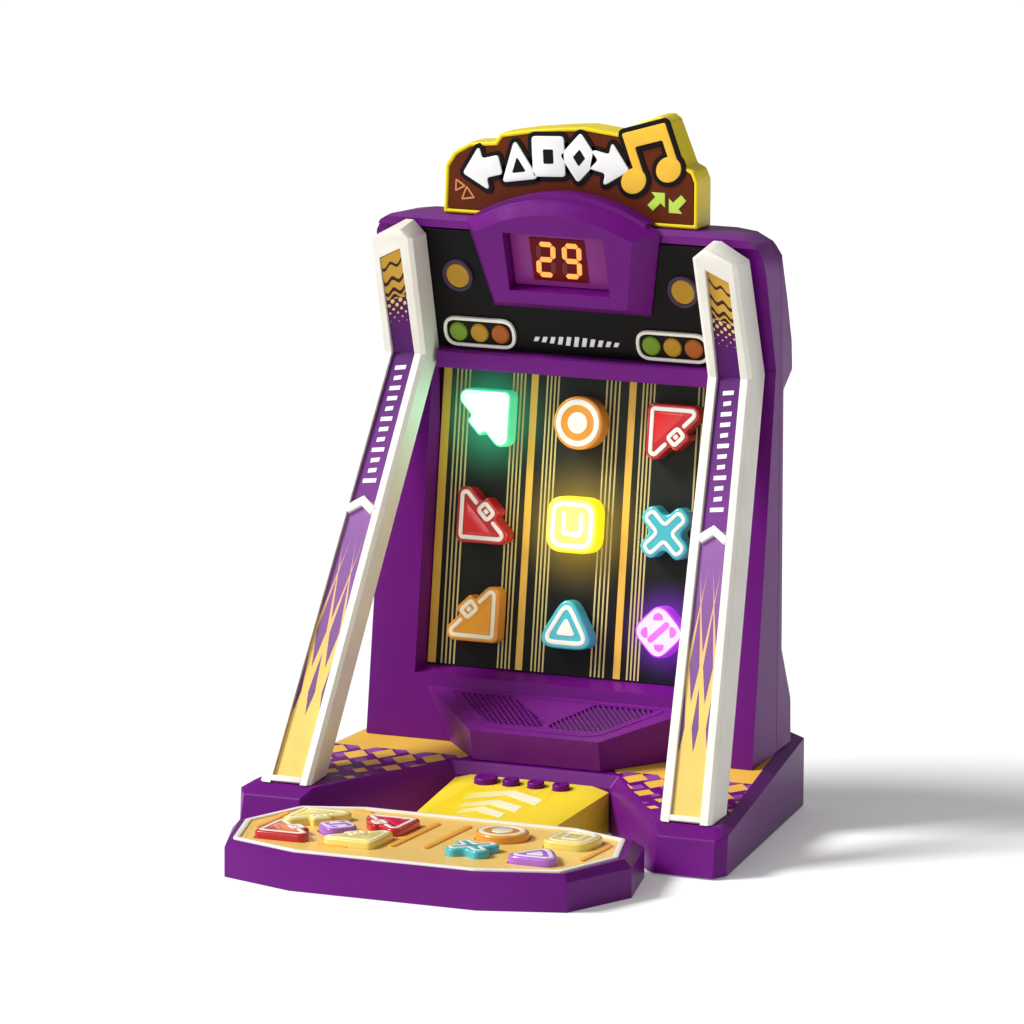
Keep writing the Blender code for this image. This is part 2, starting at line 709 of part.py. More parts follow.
def make_rail(side, sign):
    rings = [
        on_deck(rail_ring(*RAIL_FOOT, 0, 0, sign)),
        rail_ring(*RAIL_BEND, RAIL_BEND_Z, RAIL_BEND_Z, sign),
        rail_ring(*RAIL_TOP, *RAIL_TOP_Z, sign),
    ]
    front, rear = RAIL_TIP[2:]
    low, high = RAIL_TIP_Z
    tip = rail_ring(*RAIL_TIP, 0, 0, sign, 0.8)
    rings.append([(x, y, low + (high - low) * (y - front) / (rear - front)) for x, y, _ in tip])
    rail = loft("rail_" + side, rings, "white")
    combine(rail, loft("cut", slot_rings(sign, 0.0, -6.0, SLOT_DEPTH, 6.0), "white"))
    loft("rail_insert_" + side, slot_rings(sign, GAP, SLOT_DEPTH - 1.3, SLOT_DEPTH - GAP, 0.0), "gold")


# ---- Speaker shelf, console ----


def shelf_plane_z(y):
    (_, rear_y, rear_z), (_, front_y, front_z) = SHELF_TOP
    return front_z + (rear_z - front_z) * (y - front_y) / (rear_y - front_y)


def shelf_corners(shrink, drop, back, low):
    (xr, yr, zr), (xf, yf, zf) = SHELF_TOP
    (xlr, ylr, zlr), (xlf, ylf, zlf) = SHELF_LOW
    top = [(-xr + 1.6 * shrink, yr + back), (-xf + 0.6 * shrink, yf + shrink)]
    low_ring = [(-xlr + 1.6 * shrink, ylr + back, zlr - low), (-xlf + 0.6 * shrink, ylf + shrink, zlf - low)]
    upper = [(x, y, shelf_plane_z(y) - drop) for x, y in top]
    upper += [(-x, y, z) for x, y, z in reversed(upper)]
    lower = low_ring + [(-x, y, z) for x, y, z in reversed(low_ring)]
    return [lower, upper]


def make_shelf():
    shelf = loft("speaker_shelf", shelf_corners(0.0, 0.0, 0.0, 0.0), "purple")
    combine(shelf, loft("cut", shelf_corners(2.0, 2.0, 4.0, 4.0), "purple"))
    lean = shelf_plane_z(1) - shelf_plane_z(0)
    for sign in (1, -1):
        for i in range(8):
            x = sign * (7.0 + 4.4 * i)
            depth = 4.6 + 1.8 * min(i, 7 - i)
            y = 45.0 + 0.55 * i
            rings = []
            for z in (-6.0, 6.0):
                corners = [(-1.0, -depth), (1.0, -depth), (1.0, depth), (-1.0, depth)]
                ring = []
                for a, b in corners:
                    ring.append((x + a - sign * 0.35 * b, y + b, shelf_plane_z(y + b) + z))
                rings.append(ring)
            combine(shelf, loft("cut", rings, "purple"))
    tilt = 1 / math.hypot(1, lean)
    rings = []
    for radius, out in ((SPEAKER_R, 0.0), (SPEAKER_R, -2.0), (0.55 * SPEAKER_R, -6.5), (0.55 * SPEAKER_R, -8.5)):
        ring = []
        for a, b in circle(0, 0, radius, 24):
            y = SPEAKER_Y + b * tilt - out * lean * tilt
            z = shelf_plane_z(SPEAKER_Y) - 2.6 + b * lean * tilt + out * tilt
            ring.append((a, y, z))
        rings.append(ring)
    loft("speaker", rings, "black")


def console_section(y, top_half, outer_half, drop):
    """The console's outline at y: sides, sloping edges and top."""
    top = console_z(y)
    right = [(outer_half, y, FOOT_LIFT), (outer_half, y, top - drop), (top_half, y, top)]
    return right + [(-x, y, z) for x, _, z in reversed(right)]


def console_ring(centre, radius, out):
    """A circle on the console's sloping top, moved out along its normal."""
    length = math.hypot(1, CONSOLE_SLOPE)
    up = Vector((0, -CONSOLE_SLOPE / length, 1 / length)) * out
    points = []
    for a, b in circle(0, 0, radius, 20):
        points.append(tuple(centre + Vector((a, b / length, b * CONSOLE_SLOPE / length)) + up))
    return points


def make_console():
    front, rear = CONSOLE_Y
    at_front, at_rear = CONSOLE_SECTIONS
    console = loft("console_shell", [console_section(front, *at_front), console_section(rear, *at_rear)], "yellow")
    inner = []
    for y, section in ((front + WALL, at_front), (rear - 1.2, at_rear)):
        low, high = -5.0, console_z(y) - 5.4
        half = section[1] - WALL
        inner.append([(-half, y, low), (half, y, low), (half, y, high), (-half, y, high)])
    combine(console, loft("cut", inner, "yellow"))
    for i, (x, radius) in enumerate(BUTTONS):
        centre = Vector((x, BUTTON_Y, console_z(BUTTON_Y)))
        hole = [console_ring(centre, radius + 0.4, out) for out in (-12, 6)]
        combine(console, loft("cut", hole, "yellow"))
        flange = -5.2 - GAP
        steps = [(radius + 0.7, flange - BUTTON_FLANGE), (radius + 0.7, flange), (radius, flange)]
        steps += [(radius, BUTTON_RISE - 0.7), (radius - 0.9, BUTTON_RISE)]
        rings = [console_ring(centre, r, out) for r, out in steps]
        button = loft("console_button_" + str(i + 1), rings, "purple")
        button.data.transform(translation(*(-centre)))
        button.location = centre * MM
    board = []
    for y in (10.0, 29.2):
        low, high = console_z(y) - 10.4, console_z(y) - 8.8
        board.append([(-28, y, low), (28, y, low), (28, y, high), (-28, y, high)])
    loft("console_board", board, "board")


# ---- Control pad ----


def pad_keys():
    """Name, colour, centre and outline of each pad key."""
    cx, cy = ARROW_CENTRE
    rx, ry = ARROW_REACH
    offset = 0.42 * ARROW_LEG
    keys = []
    for name, colour, tx, ty in (
        ("arrow_front_left", "red", -1, -1),
        ("arrow_rear_left", "yellow", -1, 1),
        ("arrow_rear_right", "red", 1, 1),
        ("arrow_front_right", "yellow", 1, -1),
    ):
        centre = (cx + tx * (rx - offset), cy + ty * (ry - offset))
        keys.append((name, colour, centre, arrow(ARROW_LEG, tx, ty)))
    keys.append(("ball", "violet", ARROW_CENTRE, diamond(17.0)))
    keys.append(("ring", "orange", SHAPE_KEYS["ring"], circle(0, 0, 11.0, 24)))
    keys.append(("square", "yellow", SHAPE_KEYS["square"], square(21.0)))
    keys.append(("cross", "cyan", SHAPE_KEYS["cross"], cross(18.0)))
    keys.append(("triangle", "violet", SHAPE_KEYS["triangle"], triangle(20.5)))
    return keys


def make_pad():
    low = mirrored(PAD_LOW)
    rim = mirrored(PAD_RIM)
    rings = [[(x, y, 0.0) for x, y in low], [(x, y, PAD_SHOULDER_Z) for x, y in low]]
    rings.append([(x, y, PAD_TOP_Z) for x, y in mirrored(PAD_TOP)])
    shell = loft("pad_shell", rings, "purple")
    shelf_z = PAD_PLATE_Z[0] - GAP
    combine(shell, upright("cut", inset(rim, -GAP), shelf_z, 30, "purple"))
    combine(shell, upright("cut", inset(rim, PAD_RIM_WIDTH + 2.4), PAD_FLOOR_Z, 30, "purple"))
    for x, y in ((-60, -74), (-20, -100), (-20, -44), (40, -72), (14, -72)):
        combine(shell, upright("post", circle(x, y, 2.2, 12), PAD_FLOOR_Z - 1, 4.6, "purple"), "UNION")

    ring = upright("pad_rim", rim, PAD_PLATE_Z[0], PAD_RIM_Z, "white")
    combine(ring, upright("cut", inset(rim, PAD_RIM_WIDTH), 0, 30, "white"))
    plate = upright("pad_plate", inset(rim, PAD_RIM_WIDTH + GAP), *PAD_PLATE_Z, "gold")

    upright("pad_board", inset(rim, PAD_RIM_WIDTH + 4.4), 4.9, 6.5, "board")

    for name, colour, (x0, y0), outline in pad_keys():
        hole = [(x0 + x, y0 + y) for x, y in inset(outline, -KEY_CLEARANCE)]
        combine(plate, upright("cut", hole, 5, 25, "gold"))
        levels = [(z, -KEY_FLANGE) for z in KEY_FLANGE_Z]
        levels += [(KEY_FLANGE_Z[1], 0.0), (KEY_TOP_Z - 0.8, 0.0), (KEY_TOP_Z, 0.8)]
        rings = [[(x, y, z) for x, y in inset(outline, shrink)] for z, shrink in levels]
        key = loft("pad_key_" + name, rings, colour)
        radius, low_end = KEY_STEM
        stem = upright("stem", circle(0, 0, radius, 12), low_end, KEY_FLANGE_Z[0] + 0.6, colour)
        combine(key, stem, "UNION")
        key.location = Vector((x0, y0, 0)) * MM


def shade_rounds():
    """Smooth across the shallow edges of round pieces, crisp across the rest."""
    for obj in bpy.context.scene.objects:
        obj.data.shade_smooth()
        obj.data.set_sharp_from_angle(angle=math.radians(35))


clear_scene()
MATERIALS = make_materials()
make_base()
make_power()
make_tower_front()
make_tower_rear()
make_screen()
make_marquee()
make_display()
make_sign()
make_rail("left", -1)
make_rail("right", 1)
make_shelf()
make_console()
make_pad()
shade_rounds()
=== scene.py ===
"""The looks of the tabletop dance machine: mouldings, lamps, keys, printed marks, light and camera.

Lengths are millimetres, in the frame's axes, and become metres when a mesh is made.
"""

import json
import math

import bmesh
import bpy
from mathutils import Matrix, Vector


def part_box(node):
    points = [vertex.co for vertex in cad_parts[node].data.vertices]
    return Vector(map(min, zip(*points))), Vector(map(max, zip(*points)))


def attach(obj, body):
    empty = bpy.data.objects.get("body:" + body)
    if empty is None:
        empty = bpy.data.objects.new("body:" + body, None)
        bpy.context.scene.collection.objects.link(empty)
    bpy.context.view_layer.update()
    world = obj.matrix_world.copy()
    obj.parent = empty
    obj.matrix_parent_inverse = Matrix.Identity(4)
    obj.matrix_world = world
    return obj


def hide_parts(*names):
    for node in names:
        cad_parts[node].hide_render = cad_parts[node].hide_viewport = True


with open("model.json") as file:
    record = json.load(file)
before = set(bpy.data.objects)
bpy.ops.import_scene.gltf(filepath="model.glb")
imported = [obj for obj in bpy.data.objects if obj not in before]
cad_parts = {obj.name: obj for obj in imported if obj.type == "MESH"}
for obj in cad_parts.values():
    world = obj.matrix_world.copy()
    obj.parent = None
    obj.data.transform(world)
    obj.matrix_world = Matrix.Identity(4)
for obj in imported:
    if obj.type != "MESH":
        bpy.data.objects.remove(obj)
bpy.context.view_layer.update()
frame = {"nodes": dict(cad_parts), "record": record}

MM = 0.001
MACHINE = "machine"
UP = Vector((0, 0, 1))
FRONT = Vector((0, -1, 0))


# ---------------------------------------------------------------- materials


class Value:
    """A number that a material's nodes work out. Arithmetic on it adds nodes."""

    def __init__(self, paint, socket):
        self.paint = paint
        self.socket = socket

    def __add__(self, other):
        return self.paint.math("ADD", self, other)

    def __sub__(self, other):
        return self.paint.math("SUBTRACT", self, other)

    def __rsub__(self, other):
        return self.paint.math("SUBTRACT", other, self)

    def __mul__(self, other):
        return self.paint.math("MULTIPLY", self, other)

    def __truediv__(self, other):
        return self.paint.math("DIVIDE", self, other)

    def __mod__(self, other):
        return self.paint.math("FLOORED_MODULO", self, other)

    def __pow__(self, other):
        return self.paint.math("POWER", self, other)

    def __abs__(self):
        return self.paint.math("ABSOLUTE", self)

    def __lt__(self, other):
        return self.paint.math("LESS_THAN", self, other)

    def __gt__(self, other):
        return self.paint.math("GREATER_THAN", self, other)

    def __or__(self, other):
        """The larger of two."""
        return self.paint.math("MAXIMUM", self, other)

    def __and__(self, other):
        """The smaller of two."""
        return self.paint.math("MINIMUM", self, other)

    def only(self, operation):
        """The result of a node that takes this one number."""
        return self.paint.math(operation, self)

    def between(self, low, high):
        """0 at low, 1 at high, clamped."""
        made = self.paint.node("ShaderNodeMapRange", interpolation_type="LINEAR")
        for name, value in (("Value", self), ("From Min", low), ("From Max", high)):
            self.paint.feed(made.inputs[name], value)
        return Value(self.paint, made.outputs[0])


WORN_EDGE = (0.52, 0.62)  # pointiness at which an edge starts to look worn, and looks it fully
GRAIN_DEPTH = 0.03


class Paint:
    """A node-based material under construction. Numbers are Values, and colours are sockets."""

    def __init__(self, name):
        self.material = bpy.data.materials.new(name)
        self.material.use_nodes = True
        self.tree = self.material.node_tree
        self.shader = self.tree.nodes["Principled BSDF"]
        self.point = None

    def node(self, kind, **settings):
        made = self.tree.nodes.new(kind)
        for key, value in settings.items():
            setattr(made, key, value)
        return made

    def feed(self, socket, value):
        if isinstance(value, Value):
            value = value.socket
        if isinstance(value, bpy.types.NodeSocket):
            self.tree.links.new(value, socket)
        else:
            socket.default_value = value

    def math(self, operation, *values):
        made = self.node("ShaderNodeMath", operation=operation)
        for socket, value in zip(made.inputs, values):
            self.feed(socket, value)
        return Value(self, made.outputs[0])

    def mix(self, amount, first, second):
        made = self.node("ShaderNodeMix", data_type="RGBA")
        self.feed(made.inputs[0], amount)
        for socket, colour in ((made.inputs[6], first), (made.inputs[7], second)):
            self.feed(socket, colour if isinstance(colour, bpy.types.NodeSocket) else (*colour, 1.0))
        return made.outputs[2]

    def split(self, vector):
        made = self.node("ShaderNodeSeparateXYZ")
        self.feed(made.inputs[0], vector)
        return [Value(self, output) for output in made.outputs]

    def place(self):
        """The point in millimetres in the piece's own frame, as a vector."""
        if self.point is None:
            scaled = self.node("ShaderNodeVectorMath", operation="SCALE")
            self.feed(scaled.inputs[0], self.node("ShaderNodeTexCoord").outputs["Object"])
            scaled.inputs["Scale"].default_value = 1.0 / MM
            self.point = scaled.outputs[0]
        return self.point

    def strip(self):
        """Across (0 to 1) and along (millimetres) from the piece's UV map."""
        across, along, _ = self.split(self.node("ShaderNodeTexCoord").outputs["UV"])
        return across, along * STRIP_UV

    def noise(self, per_mm, detail=3.0):
        made = self.node("ShaderNodeTexNoise")
        self.feed(made.inputs["Vector"], self.place())
        made.inputs["Scale"].default_value = per_mm
        made.inputs["Detail"].default_value = detail
        return Value(self, made.outputs["Fac"])

    def shifted(self, colour, value, saturation=1.0):
        """The colour, brighter or darker."""
        made = self.node("ShaderNodeHueSaturation")
        made.inputs["Saturation"].default_value = saturation
        made.inputs["Value"].default_value = value
        self.feed(made.inputs["Color"], colour)
        return made.outputs[0]

    def grain(self, height, strength):
        bump = self.node("ShaderNodeBump")
        self.feed(bump.inputs["Height"], height)
        bump.inputs["Strength"].default_value = strength
        bump.inputs["Distance"].default_value = GRAIN_DEPTH * MM
        self.feed(self.shader.inputs["Normal"], bump.outputs[0])

    def finish(self, colour, roughness, spread=0.08, grain=0.25, grain_per_mm=3.0, variation=0.1, wear=0.12):
        """Moulded plastic or ink: slow colour variation, paler edges, fine grain and uneven gloss."""
        slow = self.noise(0.035).between(0.35, 0.65)
        if not isinstance(colour, bpy.types.NodeSocket):
            colour = self.mix(0.0, colour, colour)
        varied = self.mix(slow, colour, self.shifted(colour, 1.0 - variation))
        if wear:
            edge = Value(self, self.node("ShaderNodeNewGeometry").outputs["Pointiness"])
            worn = edge.between(*WORN_EDGE) * wear
            varied = self.mix(worn, varied, self.shifted(colour, 1.5, 0.8))
        self.feed(self.shader.inputs["Base Color"], varied)
        self.feed(self.shader.inputs["Roughness"], self.noise(0.35) * spread + (roughness - spread / 2))
        if grain:
            self.grain(self.noise(grain_per_mm, 2.0), grain)
        return self

    def shine(self, coat=0.0, specular=0.5, metallic=0.0):
        self.shader.inputs["Coat Weight"].default_value = coat
        self.shader.inputs["Coat Roughness"].default_value = 0.15
        self.shader.inputs["Specular IOR Level"].default_value = specular
        self.shader.inputs["Metallic"].default_value = metallic
        return self

    def glow(self, colour, strength):
        socket = self.shader.inputs["Emission Color"]
        self.feed(socket, colour if isinstance(colour, bpy.types.NodeSocket) else (*colour, 1.0))
        self.shader.inputs["Emission Strength"].default_value = strength
        return self


PURPLE = (0.135, 0.003, 0.180)
GOLD_INK = (0.86, 0.50, 0.07)
CREAM = (0.86, 0.83, 0.74)
STRIP_UV = 100.0  # millimetres of strip in one unit of its UV map


def plain(name, colour, roughness=0.38, coat=0.0, specular=0.5, **options):
    return Paint(name).finish(colour, roughness, **options).shine(coat=coat, specular=specular).material


def lit(name, colour, glow, strength, specular=0.4):
    """Tinted plastic that glows: light behind it in the lamps and digits, and painted glow on the display box."""
    paint = Paint(name).finish(colour, 0.3, variation=0.06, wear=0.2).shine(specular=specular)
    return paint.glow(glow, strength).material


CHECK_COLUMN = 46.1  # the check column nearest the middle of the machine
CHECK_PITCH = 11.3
CHECK_ROW = 33.2  # the rearmost full row
CHECK_ROW_PITCH = 14.2
CHECK_STAGGER = 4.3  # how far forward every other column sits
CHECK_BEND = 46.0  # distance over which the rows crowd together by one whole row
CHECK_TALL = 12.0  # a row step's share in a check's size
CHECK_SHRINK = 0.95  # how much smaller each row is
CHECK_BORDER = 2.2
CHECK_FRONT = -4.0  # no check is printed further forward
CHECK_SOLID = 40.5  # the deck is all gold behind this
GOLD_CHECK = 5.7
VIOLET_CHECK = 4.6


def check_mask(side, y, shift, largest):
    """Diamonds on a staggered grid, moved by whole steps or half steps, that shrink towards the player."""
    column = (side - CHECK_COLUMN) / CHECK_PITCH + shift
    whole = (column + 0.5).only("FLOOR")
    from_rear = CHECK_ROW - (whole % 2.0 * CHECK_STAGGER + y)
    crowding = (from_rear / CHECK_BEND | 0.0) ** 2.0
    row = from_rear / CHECK_ROW_PITCH + (crowding + shift)
    whole_row = (row + 0.5).only("FLOOR")
    dx = abs(column - whole) * CHECK_PITCH
    dy = abs(row - whole_row) * CHECK_TALL
    return dx + dy < whole_row * -CHECK_SHRINK + largest


def deck_material(corner, slope):
    """Purple moulding whose deck is printed with checks, up to a border along its inner edge.

    The inner edge runs through corner, and moves sideways by slope for each millimetre back.
    """
    paint = Paint("deck_purple")
    x, y, _ = paint.split(paint.place())
    side = abs(x)
    gold = check_mask(side, y, 0.0, GOLD_CHECK) | (y > CHECK_SOLID)
    violet = check_mask(side, y, 0.5, VIOLET_CHECK)
    past_edge = side - (y * slope + (corner.x - slope * corner.y))
    _, _, upward = paint.split(paint.node("ShaderNodeNewGeometry").outputs["Normal"])
    printed = (past_edge > CHECK_BORDER) * (y > CHECK_FRONT) * (upward > 0.98)
    colour = paint.mix(violet * printed, PURPLE, (0.30, 0.07, 0.36))
    colour = paint.mix(gold * printed, colour, GOLD_INK)
    return paint.finish(colour, 0.36).shine(specular=0.18).material


LAMP_RADIUS = 10.0
# Painted glow on the screen film round each lit lamp: the lamp, how far its glow reaches, and its colour.
PAINTED_HALOS = (
    ("screen_lamp_arrow_up_right", 30.0, (0.03, 0.42, 0.20)),
    ("screen_lamp_square", 34.0, (0.55, 0.36, 0.05)),
    ("screen_lamp_ball", 24.0, (0.20, 0.03, 0.55)),
)


def halo(x, z, centre, reach):
    """Painted glow round a lit lamp: 1 at the lamp's edge, fading to 0 at its reach."""
    dx, dz = x - centre[0], z - centre[1]
    return (dx * dx + dz * dz).only("SQRT").between(reach, LAMP_RADIUS) ** 2.0


def screen_material(low, high):
    """Dark film, a little greyer towards the top, with a painted glow round the lit lamps: emission that stands for
    their light falling on the film.
    """
    paint = Paint("screen_film")
    x, _, z = paint.split(paint.place())
    face = Face("screen_panel", FRONT)
    # The film's emission is painted light: a glow round each lit lamp.
    light = (0.0, 0.0, 0.0)
    for node, reach, tint in PAINTED_HALOS:
        light = paint.mix(halo(x, z, face.middle_of(node), reach), light, tint)
    paint.glow(light, 0.6)
    colour = paint.mix(z.between(low, high), (0.005, 0.0045, 0.005), (0.025, 0.030, 0.024))
    return paint.finish(colour, 0.45, wear=0.0, grain=0.08).shine(specular=0.12).material


LATTICE_COLUMNS = 2.0  # diamonds across the strip
LATTICE_ROWS = 2.36  # and from its foot to its chevron
LATTICE_SHIFT = 0.742
LATTICE_TOP = 0.88  # where its lines start, as a share of the way up to the chevron
LATTICE_THICK = 0.15  # where they are thickest
LATTICE_SOLID = 0.185  # all gold below this


def ink_on_strip_low(chevron):
    """Lower rail strip: solid gold at the foot, breaking into a lattice of long diamonds up to plain violet."""
    paint = Paint("strip_lower")
    across, along = paint.strip()
    slant = across * LATTICE_COLUMNS
    rise = along * (LATTICE_ROWS / chevron) + LATTICE_SHIFT
    gaps = [0.5 - abs((slant * way + rise).only("FRACT") - 0.5) for way in (1.0, -1.0)]
    width = along.between(chevron * LATTICE_TOP, chevron * LATTICE_THICK) ** 1.4 * 0.36
    mask = (along < chevron * LATTICE_SOLID) | ((gaps[0] & gaps[1]) < width)
    purple = paint.mix(along.between(20.0, chevron), (0.13, 0.035, 0.19), (0.26, 0.075, 0.34))
    gold = paint.mix(along.between(50.0, chevron * 0.8), (0.88, 0.58, 0.11), (0.80, 0.42, 0.22))
    return paint.finish(paint.mix(mask, purple, gold), 0.36, wear=0.0).shine(coat=0.15).material


WAVE_LINES = ((5.2, 0.75), (12.2, 0.95), (17.4, 0.9))  # distance from the tip, and half width
WAVES_END = 19.6
DOTS_START = 20.4
DOT_PITCH = 3.8
DOT_SIZE = 1.2
STRIP_WIDTH = 10.4


def ink_on_strip_high(length):
    """Upper rail strip: gold waves at the tip, then dots that shrink into deep purple, which further down fades into a
    lighter violet; the deep purple is print, the lighter violet painted light for the better-lit face below the bend.
    """
    paint = Paint("strip_upper")
    across, along = paint.strip()
    depth = length - along
    level = depth + (across * 10.5).only("COSINE") * 1.1
    lines = [abs(level - at) < half for at, half in WAVE_LINES]
    waves = (1.0 - (lines[0] | lines[1] | lines[2])) * (level < WAVES_END)
    row = depth / (DOT_PITCH / 2)
    column = (across * (STRIP_WIDTH / DOT_PITCH) + row.only("FLOOR") % 2.0 * 0.5).only("FRACT")
    dx = (column - 0.5) * DOT_PITCH
    dy = (row.only("FRACT") - 0.5) * (DOT_PITCH / 2)
    far = (dx * dx + dy * dy).only("SQRT")
    dots = (far < depth.between(34.0, 19.0) * DOT_SIZE) * (depth > DOTS_START)
    ground = paint.mix(depth.between(20.0, 30.0), (0.045, 0.006, 0.012), (0.09, 0.004, 0.14))
    # Painted light and shade: a lighter violet low on the strip fading into the darker ground further up, for how the
    # faces either side of the bend are lit.
    ground = paint.mix(along.between(length * 0.8, length * 0.5), ground, (0.19, 0.035, 0.26))
    colour = paint.mix(waves, ground, (0.62, 0.36, 0.04))
    colour = paint.mix(dots, colour, (0.85, 0.56, 0.24))
    return paint.finish(colour, 0.36, wear=0.0).shine(specular=0.2).material


def plate_material():
    """Gold film with a soft diagonal brush."""
    paint = Paint("pad_film")
    x, y, _ = paint.split(paint.place())
    warm = paint.mix(paint.noise(0.02).between(0.3, 0.7), (0.86, 0.50, 0.09), (0.90, 0.62, 0.16))
    brush = ((x + y) * 0.9).only("FRACT") * 0.10
    colour = paint.mix(brush, warm, (0.95, 0.75, 0.36))
    return paint.finish(colour, 0.4, wear=0.05).shine(coat=0.1).material


def fading_ink():
    """Pale ink of the console's chevrons, which fades into the yellow towards their left ends."""
    paint = Paint("pale_ink")
    x, _, _ = paint.split(paint.place())
    colour = paint.mix(x.between(-17.0, 2.0), (0.88, 0.76, 0.13), (0.93, 0.90, 0.62))
    return paint.finish(colour, 0.4, wear=0.0).shine(specular=0.3).material


def metal_material(name, colour, roughness):
    paint = Paint(name).finish(colour, roughness, grain=0.1, grain_per_mm=6.0)
    return paint.shine(metallic=1.0).material


def board_material():
    """Green circuit board with thin copper tracks under the mask."""
    paint = Paint("circuit_green")
    x, y, _ = paint.split(paint.place())
    patch = paint.noise(0.12) > 0.5
    down = ((x / 2.6).only("FRACT") < 0.22) * patch
    over = ((y / 3.9).only("FRACT") < 0.16) * (1.0 - patch)
    colour = paint.mix(down | over, (0.012, 0.11, 0.04), (0.03, 0.22, 0.08))
    return paint.finish(colour, 0.42, wear=0.0).shine(coat=0.3).material


# ---------------------------------------------------------------- places on the frame


def corners(node):
    """The node's distinct mesh points, in millimetres."""
    seen = {}
    for vertex in frame["nodes"][node].data.vertices:
        point = vertex.co / MM
        seen[tuple(round(c, 2) for c in point)] = point
    return [seen[key] for key in sorted(seen)]


class Face:
    """The largest flat face of a node that is turned towards facing, as a place to draw on.

    A point on it is given by x and z on a standing face, or by x and y on a lying one, and by how far it stands out.
    """

    def __init__(self, node, facing):
        groups = {}
        mesh = frame["nodes"][node].data
        for polygon in mesh.polygons:
            if polygon.normal.dot(facing) > 0.6:
                offset = polygon.normal.dot(mesh.vertices[polygon.vertices[0]].co) / MM
                key = tuple(round(c, 2) for c in polygon.normal) + (round(offset, 0),)
                extent, _, _ = groups.get(key, (0.0, None, 0.0))
                groups[key] = (extent + polygon.area, polygon.normal.copy(), offset)
        _, self.normal, self.offset = max(groups.values(), key=lambda g: g[0])
        self.standing = abs(facing.y) > 0.5

    def at(self, a, b, out=0.0):
        n = self.normal
        if self.standing:
            point = Vector((a, (self.offset - n.x * a - n.z * b) / n.y, b))
        else:
            point = Vector((a, b, (self.offset - n.x * a - n.y * b) / n.z))
        return point + n * out

    def height(self, point):
        """How far a point stands out of the face."""
        return point.dot(self.normal) - self.offset

    def within(self, node):
        """The node's points that lie in the face."""
        return [p for p in corners(node) if abs(self.height(p)) < 0.1]

    def extent(self, points, trim=0.0):
        """Low a, high a, low b and high b of some points."""
        a = [p.x for p in points]
        b = [p.z if self.standing else p.y for p in points]
        return min(a) + trim, max(a) - trim, min(b) + trim, max(b) - trim

    def outer_box(self, node, trim=0.0):
        """The extent of a whole node, dropped square onto this face."""
        return self.extent([p - self.normal * self.height(p) for p in corners(node)], trim)

    def middle_of(self, node):
        a0, a1, b0, b1 = self.outer_box(node)
        return (a0 + a1) / 2, (b0 + b1) / 2


# ---------------------------------------------------------------- outlines


def rounded(points, radius, steps=6, closed=True):
    """The path with each corner replaced by an arc."""
    soft = []
    count = len(points)
    for i, corner in enumerate(points):
        if not closed and i in (0, count - 1):
            soft.append(tuple(corner))
            continue
        here = Vector(corner)
        back = Vector(points[i - 1]) - here
        on = Vector(points[(i + 1) % count]) - here
        half = back.angle(on) / 2
        reach = min(radius / math.tan(half), 0.48 * back.length, 0.48 * on.length)
        start = here + back.normalized() * reach
        end = here + on.normalized() * reach
        for k in range(steps + 1):
            t = k / steps
            soft.append(tuple(start * (1 - t) ** 2 + here * 2 * t * (1 - t) + end * t * t))
    return soft


def normals(path, closed=True):
    """The left-hand normal at each point of a path, lengthened at corners to keep an even width."""
    found = []
    count = len(path)
    for i, corner in enumerate(path):
        here = Vector(corner)
        before = here - Vector(path[i - 1]) if closed or i else None
        after = Vector(path[(i + 1) % count]) - here if closed or i < count - 1 else None
        sides = [Vector((-d.y, d.x)).normalized() for d in (before, after) if d is not None and d.length > 1e-9]
        middle = sum(sides, Vector((0, 0)))
        if middle.length < 1e-6:
            middle = sides[0].copy()
        middle.normalize()
        found.append(middle / max(middle.dot(sides[0]), 0.5))
    return found


def area(path):
    return sum(a[0] * b[1] - b[0] * a[1] for a, b in zip(path, path[1:] + path[:1])) / 2


def inset(path, distance):
    """The closed path moved inwards."""
    turn = 1.0 if area(path) > 0 else -1.0
    return [tuple(Vector(p) + n * distance * turn) for p, n in zip(path, normals(path))]


def stroke(path, width, round_ends=True, steps=6):
    """The closed outline of a line of even width along an open path."""
    half = width / 2
    sides = normals(path, closed=False)
    left = [Vector(p) + n * half for p, n in zip(path, sides)]
    right = [Vector(p) - n * half for p, n in zip(path, sides)]
    outline = [tuple(p) for p in left]
    for centre, side, ring in ((path[-1], sides[-1], right), (path[0], -sides[0], left)):
        if round_ends:
            forward = Vector((side.y, -side.x))
            for k in range(1, steps):
                turn = math.pi * k / steps
                outline.append(tuple(Vector(centre) + (side * math.cos(turn) + forward * math.sin(turn)) * half))
        if ring is right:
            outline += [tuple(p) for p in reversed(right)]
    return outline


def arc(x, y, radius, start, end, steps=7):
    points = []
    for i in range(steps + 1):
        turn = math.radians(start + (end - start) * i / steps)
        points.append((x + radius * math.cos(turn), y + radius * math.sin(turn)))
    return points


def circle(x, y, radius, count=48):
    return arc(x, y, radius, 0, 360, count)[:-1]


def turned(path, degrees, scale=1.0, x=0.0, y=0.0):
    c = math.cos(math.radians(degrees)) * scale
    s = math.sin(math.radians(degrees)) * scale
    return [(x + px * c - py * s, y + px * s + py * c) for px, py in path]


def box_path(x0, x1, y0, y1):
    return [(x0, y0), (x1, y0), (x1, y1), (x0, y1)]


def hull(points):
    """The convex outline round a set of points."""
    points = sorted(points)
    chain = []
    for ordered in (points, points[::-1]):
        part = []
        for p in ordered:
            while len(part) > 1 and area([part[-2], part[-1], p]) <= 0:
                part.pop()
            part.append(p)
        chain += part[:-1]
    return chain


# ---------------------------------------------------------------- solids


SHOULDER = 0.3  # share of a bead's edge radius at which its corner is cut
FILM = -0.3, 0.12  # where a printed film starts and ends, from the face


def bead(half, low, high, edge):
    """The section of a line standing on a face, with its two top edges rounded."""
    side = [(half, low), (half, high - edge), (half - SHOULDER * edge, high - SHOULDER * edge), (half - edge, high)]
    return [(-across, out) for across, out in side] + side[::-1]


